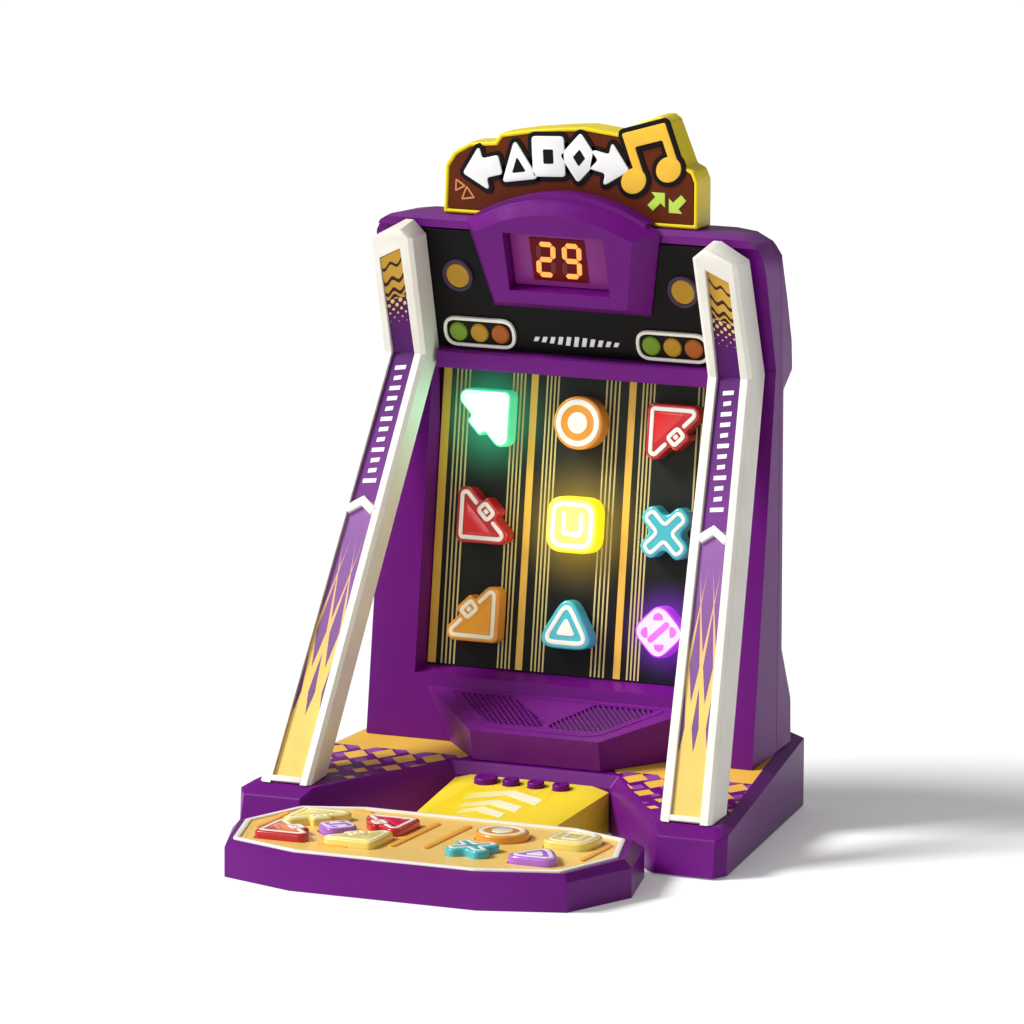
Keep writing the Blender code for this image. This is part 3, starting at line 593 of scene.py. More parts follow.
class Piece:
    """Closed solids, in millimetres, gathered into one object."""

    def __init__(self, name):
        self.name = name
        self.points = []
        self.faces = []
        self.slots = []
        self.materials = []
        self.uvs = {}

    def slot_of(self, material):
        if material not in self.materials:
            self.materials.append(material)
        return self.materials.index(material)

    def loft(self, rings, material, around=False):
        """Rings with equal point counts, joined in order. around joins the last ring back to the first."""
        base = len(self.points)
        count = len(rings[0])
        for ring in rings:
            self.points += [tuple(p) for p in ring]
        made = []
        for level in range(len(rings) if around else len(rings) - 1):
            here = base + level * count
            on = base + (level + 1) % len(rings) * count
            for i in range(count):
                j = (i + 1) % count
                made.append([here + i, here + j, on + j, on + i])
        if not around:
            made.append([base + i for i in range(count)][::-1])
            made.append([base + (len(rings) - 1) * count + i for i in range(count)])
        self.faces += made
        self.slots += [self.slot_of(material)] * len(made)

    def slab(self, face, outline, low, high, material, edge=0.3, steps=3):
        """An outline standing from low to high on a face, with a rounded top edge."""
        rings = [[face.at(a, b, low) for a, b in outline]]
        for k in range(steps + 1):
            turn = math.pi / 2 * k / steps
            inward = inset(outline, edge * (1 - math.cos(turn)))
            rings.append([face.at(a, b, high - edge + edge * math.sin(turn)) for a, b in inward])
        self.loft(rings, material)

    def film(self, face, outline, material):
        """A printed mark."""
        low, high = FILM
        self.slab(face, outline, low, high, material, edge=0.05, steps=1)

    def band(self, face, path, width, low, high, material, edge=0.3):
        """A closed line of even width standing on a face, with rounded edges."""
        section = bead(width / 2, low, high, edge)
        rings = []
        for p, n in zip(path, normals(path)):
            rings.append([face.at(*(Vector(p) + n * across), out) for across, out in section])
        self.loft(rings, material, around=True)

    def line(self, face, path, width, low, high, material, edge=0.3):
        """An open line of even width with round ends, standing on a face."""
        half = width / 2
        stops = [(Vector(p), n, half) for p, n in zip(path, normals(path, closed=False))]
        for end, way in ((0, -1.0), (-1, 1.0)):
            centre, side, _ = stops[end]
            forward = Vector((side.y, -side.x)).normalized() * way
            cap = []
            for k in range(1, 5):
                turn = math.radians(20 * k)
                cap.append((centre + forward * half * math.sin(turn), side, half * math.cos(turn)))
            stops = cap[::-1] + stops if end == 0 else stops + cap
        rings = []
        for point, side, reach in stops:
            section = bead(reach, low, high, min(edge, reach * 0.8))
            rings.append([face.at(*(point + side * across), out) for across, out in section])
        self.loft(rings, material)

    def mesh(self, smooth=40.0):
        mesh = bpy.data.meshes.new(self.name)
        mesh.from_pydata([Vector(p) * MM for p in self.points], [], self.faces)
        for material in self.materials:
            mesh.materials.append(material)
        mesh.polygons.foreach_set("material_index", self.slots)
        work = bmesh.new()
        work.from_mesh(mesh)
        bmesh.ops.triangulate(work, faces=[f for f in work.faces if len(f.verts) > 4])
        bmesh.ops.recalc_face_normals(work, faces=work.faces)
        work.to_mesh(mesh)
        work.free()
        if self.uvs:
            layer = mesh.uv_layers.new(name="strip")
            for loop in mesh.loops:
                layer.data[loop.index].uv = self.uvs[loop.vertex_index]
        mesh.shade_smooth()
        mesh.set_sharp_from_angle(angle=math.radians(smooth))
        return mesh

    def make(self, body=MACHINE, replaces=(), smooth=40.0):
        made = add_object(self.name, self.mesh(smooth))
        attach(made, body)
        if replaces:
            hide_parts(*replaces)
        return made


def add_object(name, data):
    made = bpy.data.objects.new(name, data)
    bpy.context.scene.collection.objects.link(made)
    return made


def body_of(node):
    for body, members in frame["record"]["behaviour"]["bodies"].items():
        if node in members:
            return body
    return MACHINE


SHARP = 26.0  # degrees at which an edge gets a bevel


def soften(obj, bevel, segments=3, dissolve=True):
    """Rounds an object's edges with modifiers, which leave its own mesh alone."""
    if dissolve:
        flat = obj.modifiers.new("flat", "DECIMATE")
        flat.decimate_type = "DISSOLVE"
        flat.angle_limit = math.radians(0.4)
    soft = obj.modifiers.new("soft", "BEVEL")
    soft.width = bevel * MM
    soft.segments = segments
    soft.limit_method = "ANGLE"
    soft.angle_limit = math.radians(SHARP)
    soft.use_clamp_overlap = True
    even = obj.modifiers.new("even", "WEIGHTED_NORMAL")
    even.weight = 80
    even.keep_sharp = False


def dress(node, material, bevel=0.0, segments=3, dissolve=True):
    """Gives a CAD moulding its material and, if it has a bevel, rounded edges."""
    obj = frame["nodes"][node]
    obj.data.materials.clear()
    obj.data.materials.append(material)
    if not bevel:
        return
    if "custom_normal" in obj.data.attributes:
        obj.data.attributes.remove(obj.data.attributes["custom_normal"])
    obj.data.shade_smooth()
    weld = obj.modifiers.new("weld", "WELD")
    weld.merge_threshold = 0.005 * MM
    soften(obj, bevel, segments, dissolve)


# ---------------------------------------------------------------- lamps and keys


ARROW_TIP = 0.165  # radius of an arrow's two sharp tips, as a share of its size
ARROW_CORNER = 0.12
ARROW_MARGIN = 0.1  # from the outline to the middle of the pale line
ARROW_BEND = 0.05  # radius of that line's square corner
ARROW_TAIL = 0.13  # how far the tail stands out of the long edge
ARROW_OPEN = 0.245  # half the gap that the line leaves for the tail's mark


def arrow_shape(turn_x, turn_y):
    """A right-angled arrowhead with round tips and a stubby tail, its lines and its tail mark, one unit wide."""
    tip, corner, margin = ARROW_TIP, ARROW_CORNER, ARROW_MARGIN
    half_root = math.sqrt(0.5)
    middle = 0.5 + tip * half_root

    def spot(along, out):
        """A point measured along the long edge from its middle, and out from it."""
        return middle + (along + out) * half_root, middle + (out - along) * half_root

    def put(path):
        return [((x - 0.5) * -turn_x, (y - 0.5) * -turn_y) for x, y in path]

    def block(half, low, high):
        return [spot(half, low), spot(-half, low), spot(-half, high), spot(half, high)]

    start = [(0.30, 0), (0.20, 0), (0.19, ARROW_TAIL)]
    tail = [spot(along, out) for along, out in start + [(-along, out) for along, out in start[::-1]]]
    outline = arc(corner, corner, corner, 180, 270) + arc(1 - tip, tip, tip, -90, 45)
    outline += rounded(tail, 0.09, 5, closed=False) + arc(tip, 1 - tip, tip, 45, 180)
    bend = margin + ARROW_BEND
    line = [spot(ARROW_OPEN, -margin)] + arc(1 - tip, tip, tip - margin, 45, -90)
    line += arc(bend, bend, ARROW_BEND, 270, 180, 4)
    line += arc(tip, 1 - tip, tip - margin, 180, 45) + [spot(-ARROW_OPEN, -margin)]
    return {
        "outline": put(outline),
        "face": put(outline),
        "lines": [put(line)],
        "loops": [put(rounded(block(0.125, -0.155, 0.03), 0.055))],
        "spots": [put(rounded(block(0.045, -0.1, -0.025), 0.02))],
        "fill": put(rounded([(0.16, 0.16), (0.74, 0.16), (0.16, 0.74)], 0.04)),
    }


def ring_shape():
    return {
        "outline": circle(0, 0, 0.5),
        "loops": [circle(0, 0, 0.385)],
        "spots": [circle(0, 0, 0.2)],
        "loop_width": 0.105,
    }


def square_shape():
    outline = rounded(box_path(-0.5, 0.5, -0.5, 0.5), 0.32, 8)
    return {
        "outline": outline,
        "face": outline,
        "loops": [rounded(box_path(-0.37, 0.37, -0.37, 0.37), 0.2, 8)],
        "lines": [rounded([(-0.16, 0.2), (-0.16, -0.16), (0.18, -0.16), (0.18, 0.2)], 0.06, closed=False)],
    }


def cross_path(reach, arm, radius):
    points = []
    for turn in (45, 135, 225, 315):
        along = Vector((math.cos(math.radians(turn)), math.sin(math.radians(turn))))
        side = Vector((-along.y, along.x))
        points += [tuple(along * reach - side * arm), tuple(along * reach + side * arm), tuple((along + side) * arm)]
    return rounded(points, radius, 6)


def cross_shape():
    return {
        "outline": cross_path(0.60, 0.205, 0.18),
        "loops": [cross_path(0.495, 0.105, 0.09)],
    }


def triangle_path(grow):
    """An equal-sided triangle; grow moves each side outwards."""
    reach = 2 * (0.27 + grow)
    return [(reach * math.cos(math.radians(turn)), reach * math.sin(math.radians(turn))) for turn in (-150, -30, 90)]


def triangle_shape():
    return {
        "outline": rounded(triangle_path(0.06), 0.24, 8),
        "loops": [rounded(triangle_path(-0.045), 0.12, 8)],
        "spots": [rounded(triangle_path(-0.165), 0.05, 6)],
    }


def ball_shape():
    """A rounded diamond with a slanting slot and four rounded windows."""
    half = 0.62
    segment = rounded([(0.235, -0.12), (0.34, -0.09), (0.395, 0.0), (0.34, 0.09), (0.235, 0.12)], 0.04, 4)
    windows = [turned(segment, turn) for turn in (5, 95, 185, 275)]
    outline = rounded([(0, -half), (half, 0), (0, half), (-half, 0)], 0.3, 8)
    return {
        "outline": outline,
        "face": outline,
        "windows": windows + [stroke([(-0.165, -0.155), (0.165, 0.155)], 0.13)],
    }


SHAPES = {
    "arrow_up_right": arrow_shape(1, 1),
    "arrow_up_left": arrow_shape(-1, 1),
    "arrow_down_left": arrow_shape(-1, -1),
    "arrow_down_right": arrow_shape(1, -1),
    "ring": ring_shape(),
    "square": square_shape(),
    "cross": cross_shape(),
    "triangle": triangle_shape(),
    "ball": ball_shape(),
}
MARK_WIDTH = 0.075  # width of the pale line on a lamp or key, as a share of its size
MARK_ROOT = -0.6  # how deep its marks reach into it
MARK_OUT = 0.22  # and how far they stand out
KEY_FLANGE = 0.9  # how far a key's hidden retaining flange reaches past its sides
LAMP_THICK = 7.6
KEY_THICK = 10.3


def fitted(shape, box):
    """Scales a shape's paths from its own outline to a node's extent."""
    xs = [p[0] for p in shape["outline"]]
    ys = [p[1] for p in shape["outline"]]
    a0, a1, b0, b1 = box
    sx = (a1 - a0) / (max(xs) - min(xs))
    sy = (b1 - b0) / (max(ys) - min(ys))

    def move(path):
        return [(a0 + (x - min(xs)) * sx, b0 + (y - min(ys)) * sy) for x, y in path]

    made = {key: move(shape[key]) if key in shape else None for key in ("outline", "fill", "face")}
    for key in ("lines", "loops", "spots", "windows"):
        made[key] = [move(path) for path in shape.get(key, [])]
    size = (sx + sy) / 2
    made["line_width"] = MARK_WIDTH * size
    made["loop_width"] = shape.get("loop_width", MARK_WIDTH) * size
    return made


def make_token(node, shape_name, facing, depth, body_paint, mark_paint, fill_paint=None, face_paint=None):
    """A lamp lens or a pad key: a pillow-edged body with raised pale lines on its face."""
    face = Face(node, facing)
    trim = KEY_FLANGE if facing is UP else 0.0
    shape = fitted(SHAPES[shape_name], face.outer_box(node, trim))
    piece = Piece(node.replace("screen_lamp", "lamp").replace("pad_key", "key"))
    piece.slab(face, shape["outline"], -depth, 0.0, body_paint, edge=1.1, steps=5)
    if face_paint:
        piece.slab(face, inset(shape["face"], 0.9), MARK_ROOT, 0.05, face_paint, edge=0.05, steps=1)
    for path in shape["lines"]:
        piece.line(face, path, shape["line_width"], MARK_ROOT, MARK_OUT, mark_paint, edge=0.2)
    for path in shape["loops"]:
        piece.band(face, path, shape["loop_width"], MARK_ROOT, MARK_OUT, mark_paint, edge=0.18)
    for path in shape["spots"]:
        piece.slab(face, path, MARK_ROOT, MARK_OUT, mark_paint, edge=0.16)
    if shape["fill"] and fill_paint:
        piece.slab(face, shape["fill"], MARK_ROOT, 0.1, fill_paint, edge=0.05)
    for path in shape["windows"]:
        piece.slab(face, path, MARK_ROOT, 0.14, fill_paint, edge=0.1)
    slot = next(s["material_slot"] for s in frame["record"]["subparts"] if s["node"] == node)
    piece.make(body_of(node), replaces=(node,))


# ---------------------------------------------------------------- the machine's materials


white = plain("white_plastic", CREAM, 0.34)
purple = plain("purple_plastic", PURPLE, 0.36, specular=0.18)
yellow = plain("yellow_plastic", (0.86, 0.64, 0.004), 0.38, specular=0.16)
sign_yellow = plain("sign_yellow", (0.86, 0.66, 0.008), 0.34, specular=0.22)
pale_ink = fading_ink()
white_ink = plain("white_ink", (0.88, 0.88, 0.86), 0.4, wear=0.0)
black_ink = plain("black_ink", (0.006, 0.004, 0.004), 0.38, specular=0.12, wear=0.0)
brown_film = plain("brown_film", (0.115, 0.018, 0.003), 0.36, specular=0.12, wear=0.0)
black_film = plain("marquee_film", (0.004, 0.003, 0.003), 0.4, specular=0.12, wear=0.0)
gold_film = plain("gold_film", (0.80, 0.48, 0.06), 0.36, wear=0.0)
pinstripe = plain("pinstripe_film", (0.62, 0.52, 0.20), 0.4, wear=0.0)
orange_print = plain("orange_plastic", (0.88, 0.40, 0.04), 0.36)
note_yellow = plain("note_yellow", (0.88, 0.50, 0.02), 0.36, wear=0.0)
lime = plain("lime_ink", (0.50, 0.72, 0.07), 0.4, wear=0.0)
salmon = plain("salmon_ink", (0.62, 0.24, 0.08), 0.4, wear=0.0)
black_plastic = plain("black_plastic", (0.02, 0.018, 0.022), 0.5, grain=0.5)
rubber = plain("rubber", (0.03, 0.03, 0.032), 0.85, grain=0.6, grain_per_mm=2.0)
mauve = plain("mauve_plastic", (0.055, 0.028, 0.07), 0.35, specular=0.2)
mark_white = plain("lamp_mark", (0.93, 0.88, 0.80), 0.3, coat=0.3)
red = plain("red_lens", (0.52, 0.008, 0.012), 0.22, coat=0.5)
red_fill = plain("red_fill", (0.75, 0.006, 0.006), 0.22, coat=0.5)
orange = plain("orange_lens", (0.82, 0.32, 0.025), 0.22, coat=0.4)
orange_fill = plain("orange_fill", (0.88, 0.37, 0.01), 0.22, coat=0.4)
cyan = plain("cyan_lens", (0.06, 0.50, 0.58), 0.22, coat=0.4)
pale_yellow = plain("pale_yellow_lens", (0.86, 0.70, 0.16), 0.25, coat=0.4)
violet_lens = plain("violet_lens", (0.40, 0.14, 0.62), 0.25, coat=0.4)
pale_mark = plain("pale_mark", (0.93, 0.90, 0.66), 0.3, coat=0.3)
lilac_mark = plain("lilac_mark", (0.86, 0.78, 0.90), 0.3, coat=0.3)
green_light = plain("green_light", (0.17, 0.30, 0.008), 0.3, specular=0.3)
amber_light = plain("amber_light", (0.48, 0.25, 0.006), 0.3, specular=0.3)
orange_light = plain("orange_light", (0.40, 0.09, 0.005), 0.3, specular=0.3)
mint_lit = lit("mint_lit", (0.15, 0.66, 0.40), (0.05, 0.70, 0.32), 0.6)
mint_core = lit("mint_core", (0.80, 0.92, 0.86), (0.70, 1.0, 0.82), 0.8)
mint_mark = lit("mint_mark", (0.72, 0.90, 0.80), (0.50, 0.95, 0.70), 0.45)
yellow_lit = lit("yellow_lit", (0.88, 0.80, 0.01), (0.95, 0.88, 0.0), 0.65)
yellow_core = lit("yellow_core", (0.92, 0.88, 0.12), (1.0, 0.90, 0.05), 0.6)
yellow_mark = lit("yellow_mark", (0.93, 0.91, 0.75), (1.0, 0.95, 0.70), 0.8)
violet_lit = lit("violet_lit", (0.56, 0.12, 0.60), (0.60, 0.10, 0.66), 0.3)
violet_side = lit("violet_side", (0.42, 0.05, 0.66), (0.45, 0.04, 0.85), 0.5)
violet_mark = lit("violet_mark", (0.84, 0.60, 0.84), (0.85, 0.55, 0.90), 0.16)
digit_lit = lit("digit_lit", (0.90, 0.35, 0.08), (1.0, 0.26, 0.03), 1.0)
digit_unlit = lit("digit_unlit", (0.12, 0.03, 0.03), (0.30, 0.03, 0.02), 0.12, specular=0.1)
digit_dark = lit("digit_dark", (0.06, 0.002, 0.004), (0.40, 0.004, 0.02), 0.15, specular=0.1)
# The display box is dark magenta plastic and no lamp: its faint magenta emission is painted glow, standing for light on
# its walls.
display_wall_painted_glow = lit("display_wall_painted_glow", (0.20, 0.03, 0.22), (0.60, 0.0, 0.20), 0.07, specular=0.2)
pad_gold = plate_material()
board = board_material()
cell_skin = metal_material("cell_steel", (0.62, 0.62, 0.64), 0.32)


# ---------------------------------------------------------------- mouldings carried over from the CAD


def add_mouldings():
    right = [p for p in Face("base_shell", UP).within("base_shell") if p.x > 1]
    rear = min(right, key=lambda p: p.x)
    front = min(right, key=lambda p: p.y)
    slope = (front.x - rear.x) / (front.y - rear.y)
    dress("base_shell", deck_material(rear, slope), 0.9)
    for node in ("tower_front_shell", "tower_rear_shell"):
        dress(node, purple, 0.8)
    dress("pad_shell", purple, 0.8, dissolve=False)
    dress("display_housing", purple, 0.5)
    for node in ("rail_left", "rail_right"):
        dress(node, white, 0.6)
    dress("pad_plate", pad_gold)
    dress("console_shell", yellow, 0.6)
    dress("sign_shell", sign_yellow, 0.9)
    dress("sign_face", brown_film)
    low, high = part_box("screen_panel")
    dress("screen_panel", screen_material(low.z / MM, high.z / MM))
    dress("marquee_panel", black_film, 0.2)
    for node in ("base_bottom_cover", "battery_cover", "battery_holder", "speaker"):
        dress(node, black_plastic, 0.3, 2)
    for node in frame["nodes"]:
        if node.startswith("foot_"):
            dress(node, rubber, 0.25, 2)
        elif node.startswith("battery_cell"):
            dress(node, cell_skin, 0.3, 2)
        elif node.endswith("_board"):
            dress(node, board, 0.1, 1)


# ---------------------------------------------------------------- screen


WIDE_STRIPES = ((-66.0, -62.3), (-25.5, -22.3), (19.4, 22.6), (62.3, 66.0))
PINSTRIPES = ((-60.0, -53.5), (-34.0, -28.0), (-18.5, -12.5), (8.8, 15.3), (25.4, 31.2), (50.6, 57.2))
PINSTRIPE_COUNT = 4
PINSTRIPE_WIDTH = 0.75
STRIPE_MARGIN = 0.4
SCREEN_LAMPS = {
    "arrow_up_right": (mint_lit, mint_mark, mint_core, mint_core),
    "ring": (orange, mark_white),
    "arrow_up_left": (red, mark_white, red_fill),
    "arrow_down_left": (red, mark_white, red_fill),
    "square": (yellow_lit, yellow_mark, None, yellow_core),
    "cross": (cyan, mark_white),
    "arrow_down_right": (orange, pale_mark, orange_fill),
    "triangle": (cyan, mark_white),
    "ball": (violet_side, violet_mark, violet_lit, violet_mark),
}


def add_screen_stripes():
    screen = Face("screen_panel", FRONT)
    _, _, low, high = screen.extent(screen.within("screen_panel"))
    low, high = low + STRIPE_MARGIN, high - STRIPE_MARGIN
    piece = Piece("screen_stripes")
    for a0, a1 in WIDE_STRIPES:
        piece.film(screen, box_path(a0, a1, low, high), gold_film)
    for first, last in PINSTRIPES:
        for i in range(PINSTRIPE_COUNT):
            a = first + (last - first - PINSTRIPE_WIDTH) * i / (PINSTRIPE_COUNT - 1)
            piece.film(screen, box_path(a, a + PINSTRIPE_WIDTH, low, high), pinstripe)
    piece.make()


def add_lamps():
    for name, paints in SCREEN_LAMPS.items():
        make_token("screen_lamp_" + name, name, FRONT, LAMP_THICK, *paints)


# ---------------------------------------------------------------- marquee


SIGNAL_PITCH = 9.6
SIGNAL_LIGHT_R = 4.1
SIGNAL_END_R = 6.4
BAR_FIELD = (-20.0, 20.0, 196.8, 201.2)
BAR_COUNT = 11


def add_signal_bar(side):
    """A black plate in a white rim, with three round lights."""
    node = "signal_bar_" + side
    face = Face(node, FRONT)
    path = rounded(box_path(*face.outer_box(node)), SIGNAL_END_R, 10)
    middle, height = face.middle_of(node)
    piece = Piece("signals_" + side)
    piece.slab(face, inset(path, 0.4), -1.4, -0.7, black_ink, edge=0.2)
    piece.band(face, inset(path, 0.75), 1.5, -1.4, 0.0, white, edge=0.45)
    for place, light in ((-1, green_light), (0, amber_light), (1, orange_light)):
        spot = circle(middle + place * SIGNAL_PITCH, height, SIGNAL_LIGHT_R)
        piece.slab(face, spot, -1.0, 0.5, light, edge=1.1, steps=5)
    piece.make(replaces=(node,))


def add_round_lamp(side):
    node = "round_lamp_" + side
    face = Face(node, FRONT)
    a0, a1, _, _ = face.outer_box(node)
    a, b = face.middle_of(node)
    radius = (a1 - a0) / 2
    piece = Piece("marker_" + side)
    piece.band(face, circle(a, b, radius - 0.85), 1.7, -1.4, 0.0, mauve, edge=0.6)
    piece.slab(face, circle(a, b, radius - 1.6), -1.4, -0.2, amber_light, edge=0.8, steps=5)
    piece.make(replaces=(node,))


def add_marquee():
    for side in ("left", "right"):
        add_signal_bar(side)
        add_round_lamp(side)
    face = Face("marquee_panel", FRONT)
    a0, a1, b0, b1 = BAR_FIELD
    bars = Piece("marquee_bars")
    middle = (BAR_COUNT - 1) / 2
    width = (a1 - a0) / BAR_COUNT
    for i in range(BAR_COUNT):
        left = a0 + i * width
        tall = (b1 - b0) * (1.0 - 0.55 * abs(i - middle) / middle)
        foot = (b0 + b1 - tall) / 2
        slant = ((0.0, 0.0), (0.55, 0.0), (0.85, tall), (0.3, tall))
        bars.film(face, [(left + width * across, foot + up) for across, up in slant], white_ink)
    bars.make()


# ---------------------------------------------------------------- score display


SEGMENTS = {
    "top": ((-1, 2), (1, 2)),
    "high_left": ((-1, 2), (-1, 0)),
    "high_right": ((1, 2), (1, 0)),
    "middle": ((-1, 0), (1, 0)),
    "low_left": ((-1, 0), (-1, -2)),
    "low_right": ((1, 0), (1, -2)),
    "bottom": ((-1, -2), (1, -2)),
}
UNLIT = {2: ("high_left", "low_right"), 9: ("low_left",)}
DIGIT_SIZE = (3.3, 3.35)  # half width, and quarter height
DIGIT_PLACES = ((2, -6.9), (9, 4.9))
DIGIT_BLOCK = (-13.6, 11.4, 226.6, 245.4)
DIGIT_SLANT = 0.09
SEGMENT_HALF = 1.1
SEGMENT_GAP = 0.35
SEGMENT_POINT = 0.9


def segment_path(start, end):
    """A bar with pointed ends, a little short of two corners of a digit."""
    along = (end - start).normalized()
    side = Vector((-along.y, along.x)) * SEGMENT_HALF
    start, end = start + along * SEGMENT_GAP, end - along * SEGMENT_GAP
    inner = along * SEGMENT_POINT
    path = [start, start + inner + side, end - inner + side, end, end - inner - side, start + inner - side]
    return [tuple(p) for p in path]


def add_display():
    node = "digit_display"
    face = Face(node, FRONT)
    piece = Piece("score_display")
    # The box's faint emission is painted glow, not a lamp.
    piece.slab(face, box_path(*face.outer_box(node)), -4.0, 0.0, display_wall_painted_glow, edge=0.3)
    piece.slab(face, rounded(box_path(*DIGIT_BLOCK), 0.8, 4), -0.4, 0.5, digit_dark, edge=0.25)
    half, quarter = DIGIT_SIZE
    height = (DIGIT_BLOCK[2] + DIGIT_BLOCK[3]) / 2
    for digit, middle in DIGIT_PLACES:
        for name, ends in SEGMENTS.items():
            corner = [Vector((middle + x * half + DIGIT_SLANT * y * quarter, height + y * quarter)) for x, y in ends]
            paint = digit_unlit if name in UNLIT[digit] else digit_lit
            piece.slab(face, segment_path(*corner), 0.2, 0.75, paint, edge=0.15)
    piece.make(replaces=(node,))


# ---------------------------------------------------------------- sign


GLYPHS = (  # kind, x, z, tilt and half height
    ("left", -39.6, 271.0, 15, 9.9),
    ("triangle", -23.6, 275.0, 9, 9.6),
    ("square", -9.6, 277.9, 3, 9.0),
    ("diamond", 4.4, 278.2, -3, 10.2),
    ("right", 18.0, 276.2, -12, 9.9),
)
NOTE_PLACE = (27.4, 269.0)
NOTE_TILT = 20
LIME_ARROWS = ((43.0, 265.8, 0), (44.8, 257.6, 180))
LIME_SIZE = 7.8
SALMON_TRIANGLES = ((-50.6, 263.2, 28, 4.05), (-46.6, 259.6, 8, 4.95))
INK_BASE = -0.4, 0.5  # where the black outlines start and end, from the sign's face
RAISED = 0.95  # how far the shapes stand out of it


def note_paths():
    """A pair of joined notes: the beam with its stems, and the two heads."""
    stems = [(3.4, 0), (3.4, 20.6), (23.6, 19.4), (23.6, 0), (20.0, 0), (20.0, 12.8), (7.2, 13.6), (7.2, 0)]
    head = [(px * 5.9, py * 5.1) for px, py in circle(0, 0, 1.0, 40)]
    return [rounded(stems, 0.9, 4)] + [turned(head, 18, 1.0, x, 0.4) for x in (1.9, 18.6)]


def glyph_paths(kind):
    """A chunky shape one unit in half height, and the hole in it, if it has one."""
    arrow = [(-0.95, 0), (0.1, 1.0), (0.1, 0.42), (0.85, 0.42), (0.85, -0.42), (0.1, -0.42), (0.1, -1.0)]
    if kind in ("left", "right"):
        return rounded(turned(arrow, 0 if kind == "left" else 180), 0.14, 4), None
    if kind == "triangle":
        outer = [(-0.88, -0.85), (0.88, -0.85), (0, 1.0)]
        return rounded(outer, 0.16, 5), rounded([(-0.34, -0.48), (0.34, -0.48), (0, 0.22)], 0.06, 4)
    if kind == "square":
        return rounded(box_path(-0.82, 0.82, -0.95, 0.95), 0.2, 5), rounded(box_path(-0.26, 0.26, -0.34, 0.34), 0.08, 4)
    outer = [(0, -1.05), (0.86, 0), (0, 1.05), (-0.86, 0)]
    return rounded(outer, 0.14, 5), rounded([(0, -0.36), (0.28, 0), (0, 0.36), (-0.28, 0)], 0.05, 4)


def add_sign():
    face = Face("sign_face", FRONT)
    piece = Piece("sign_shapes")
    ink_low, ink_high = INK_BASE
    for kind, x, z, tilt, size in GLYPHS:
        outer, hole = glyph_paths(kind)
        shape = turned(outer, tilt, size, x, z)
        piece.slab(face, inset(shape, -1.9), ink_low, ink_high, black_ink, edge=0.2)
        piece.slab(face, shape, 0.0, RAISED, white_ink, edge=0.3)
        if hole:
            piece.slab(face, turned(hole, tilt, size, x, z), ink_high, RAISED + 0.05, black_ink, edge=0.1)
    for grow, low, high, paint in ((2.0, ink_low, ink_high, black_ink), (0.0, 0.0, RAISED, note_yellow)):
        for i, path in enumerate(note_paths()):
            placed = turned(path, NOTE_TILT, 1.0, *NOTE_PLACE)
            level = high + 0.002 * i  # so that no two flat tops share a plane
            piece.slab(face, inset(placed, -grow) if grow else placed, low, level, paint, edge=0.2)
    arrow = [(0, 0), (-0.78, 0), (-0.56, -0.24), (-1.0, -0.70), (-0.70, -1.0), (-0.24, -0.56), (0, -0.78)]
    for x, z, turn in LIME_ARROWS:
        piece.slab(face, turned(arrow, turn, LIME_SIZE, x, z), -0.3, 0.4, lime, edge=0.15)
    for x, z, turn, size in SALMON_TRIANGLES:
        path = turned(rounded(triangle_path(0.06), 0.05, 3), turn, size, x, z)
        piece.band(face, path, 0.75, -0.3, 0.3, salmon, edge=0.1)
    piece.make()


# ---------------------------------------------------------------- rails


class Strip:
    """A printed rail strip as a place to draw on: millimetres across from its middle, and up from its foot."""

    def __init__(self, node):
        by_height = sorted(corners(node), key=lambda p: p.z)
        pairs = [sorted(by_height[i : i + 4], key=lambda p: p.y)[:2] for i in (0, 4, 8)]
        self.inner = [min(pair, key=lambda p: abs(p.x)) for pair in pairs]
        self.outer = [max(pair, key=lambda p: abs(p.x)) for pair in pairs]
        self.middle = [(a + b) / 2 for a, b in zip(self.inner, self.outer)]
        self.lengths = [(b - a).length for a, b in zip(self.middle, self.middle[1:])]
        self.bend = self.lengths[0]
        self.length = sum(self.lengths)

    def split(self, along):
        """Which straight part, and how far along it from 0 to 1."""
        if along <= self.bend:
            return 0, along / self.bend
        return 1, (along - self.bend) / self.lengths[1]

    def edges(self, along):
        part, t = self.split(along)
        return self.inner[part].lerp(self.inner[part + 1], t), self.outer[part].lerp(self.outer[part + 1], t)

    def half(self, along):
        inner, outer = self.edges(along)
        return abs(outer.x - inner.x) / 2

    def normal(self, along):
        part, _ = self.split(along)
        rise = self.middle[part + 1] - self.middle[part]
        return Vector((0, -rise.z, rise.y)).normalized()

    def at(self, across, along, out=0.0):
        part, t = self.split(along)
        point = self.middle[part].lerp(self.middle[part + 1], t)
        return point + Vector((across, 0, 0)) + self.normal(along) * out


STRIP_THICK = 1.0
STRIP_BEND = 0.6  # the bend is rounded over this far each way
CHEVRON_AT = 0.652  # share of the way from the foot to the bend
CHEVRON_RISE = 4.4
CHEVRON_BAR = 3.6
FOOT_BAR = 2.6
MARK_BARS = (0.70, 0.965)  # first and last small bar, as shares of the way to the bend
MARK_BAR_COUNT = 12


def add_rail_strip(side, low_ink, high_ink_and_shade):
    node = "rail_insert_" + side
    strip = Strip(node)
    piece = Piece("strip_" + side)
    chevron = strip.bend * CHEVRON_AT
    for first, last, ink, steps in ((0.0, chevron, low_ink, 8), (chevron, strip.length, high_ink_and_shade, 16)):
        rings = []
        stations = [first + (last - first) * i / steps for i in range(steps + 1)]
        if first < strip.bend < last:
            stations = sorted(stations + [strip.bend + off for off in (-STRIP_BEND, 0.0, STRIP_BEND)])
        for along in stations:
            inner, outer = strip.edges(along)
            back = strip.normal(along) * -STRIP_THICK
            base = len(piece.points) + 4 * len(rings)
            for k, across in enumerate((0.0, 1.0, 1.0, 0.0)):
                piece.uvs[base + k] = (across, along / STRIP_UV)
            rings.append([inner, outer, outer + back, inner + back])
        piece.loft(rings, ink)
    piece.make(replaces=(node,), smooth=25)
    return strip


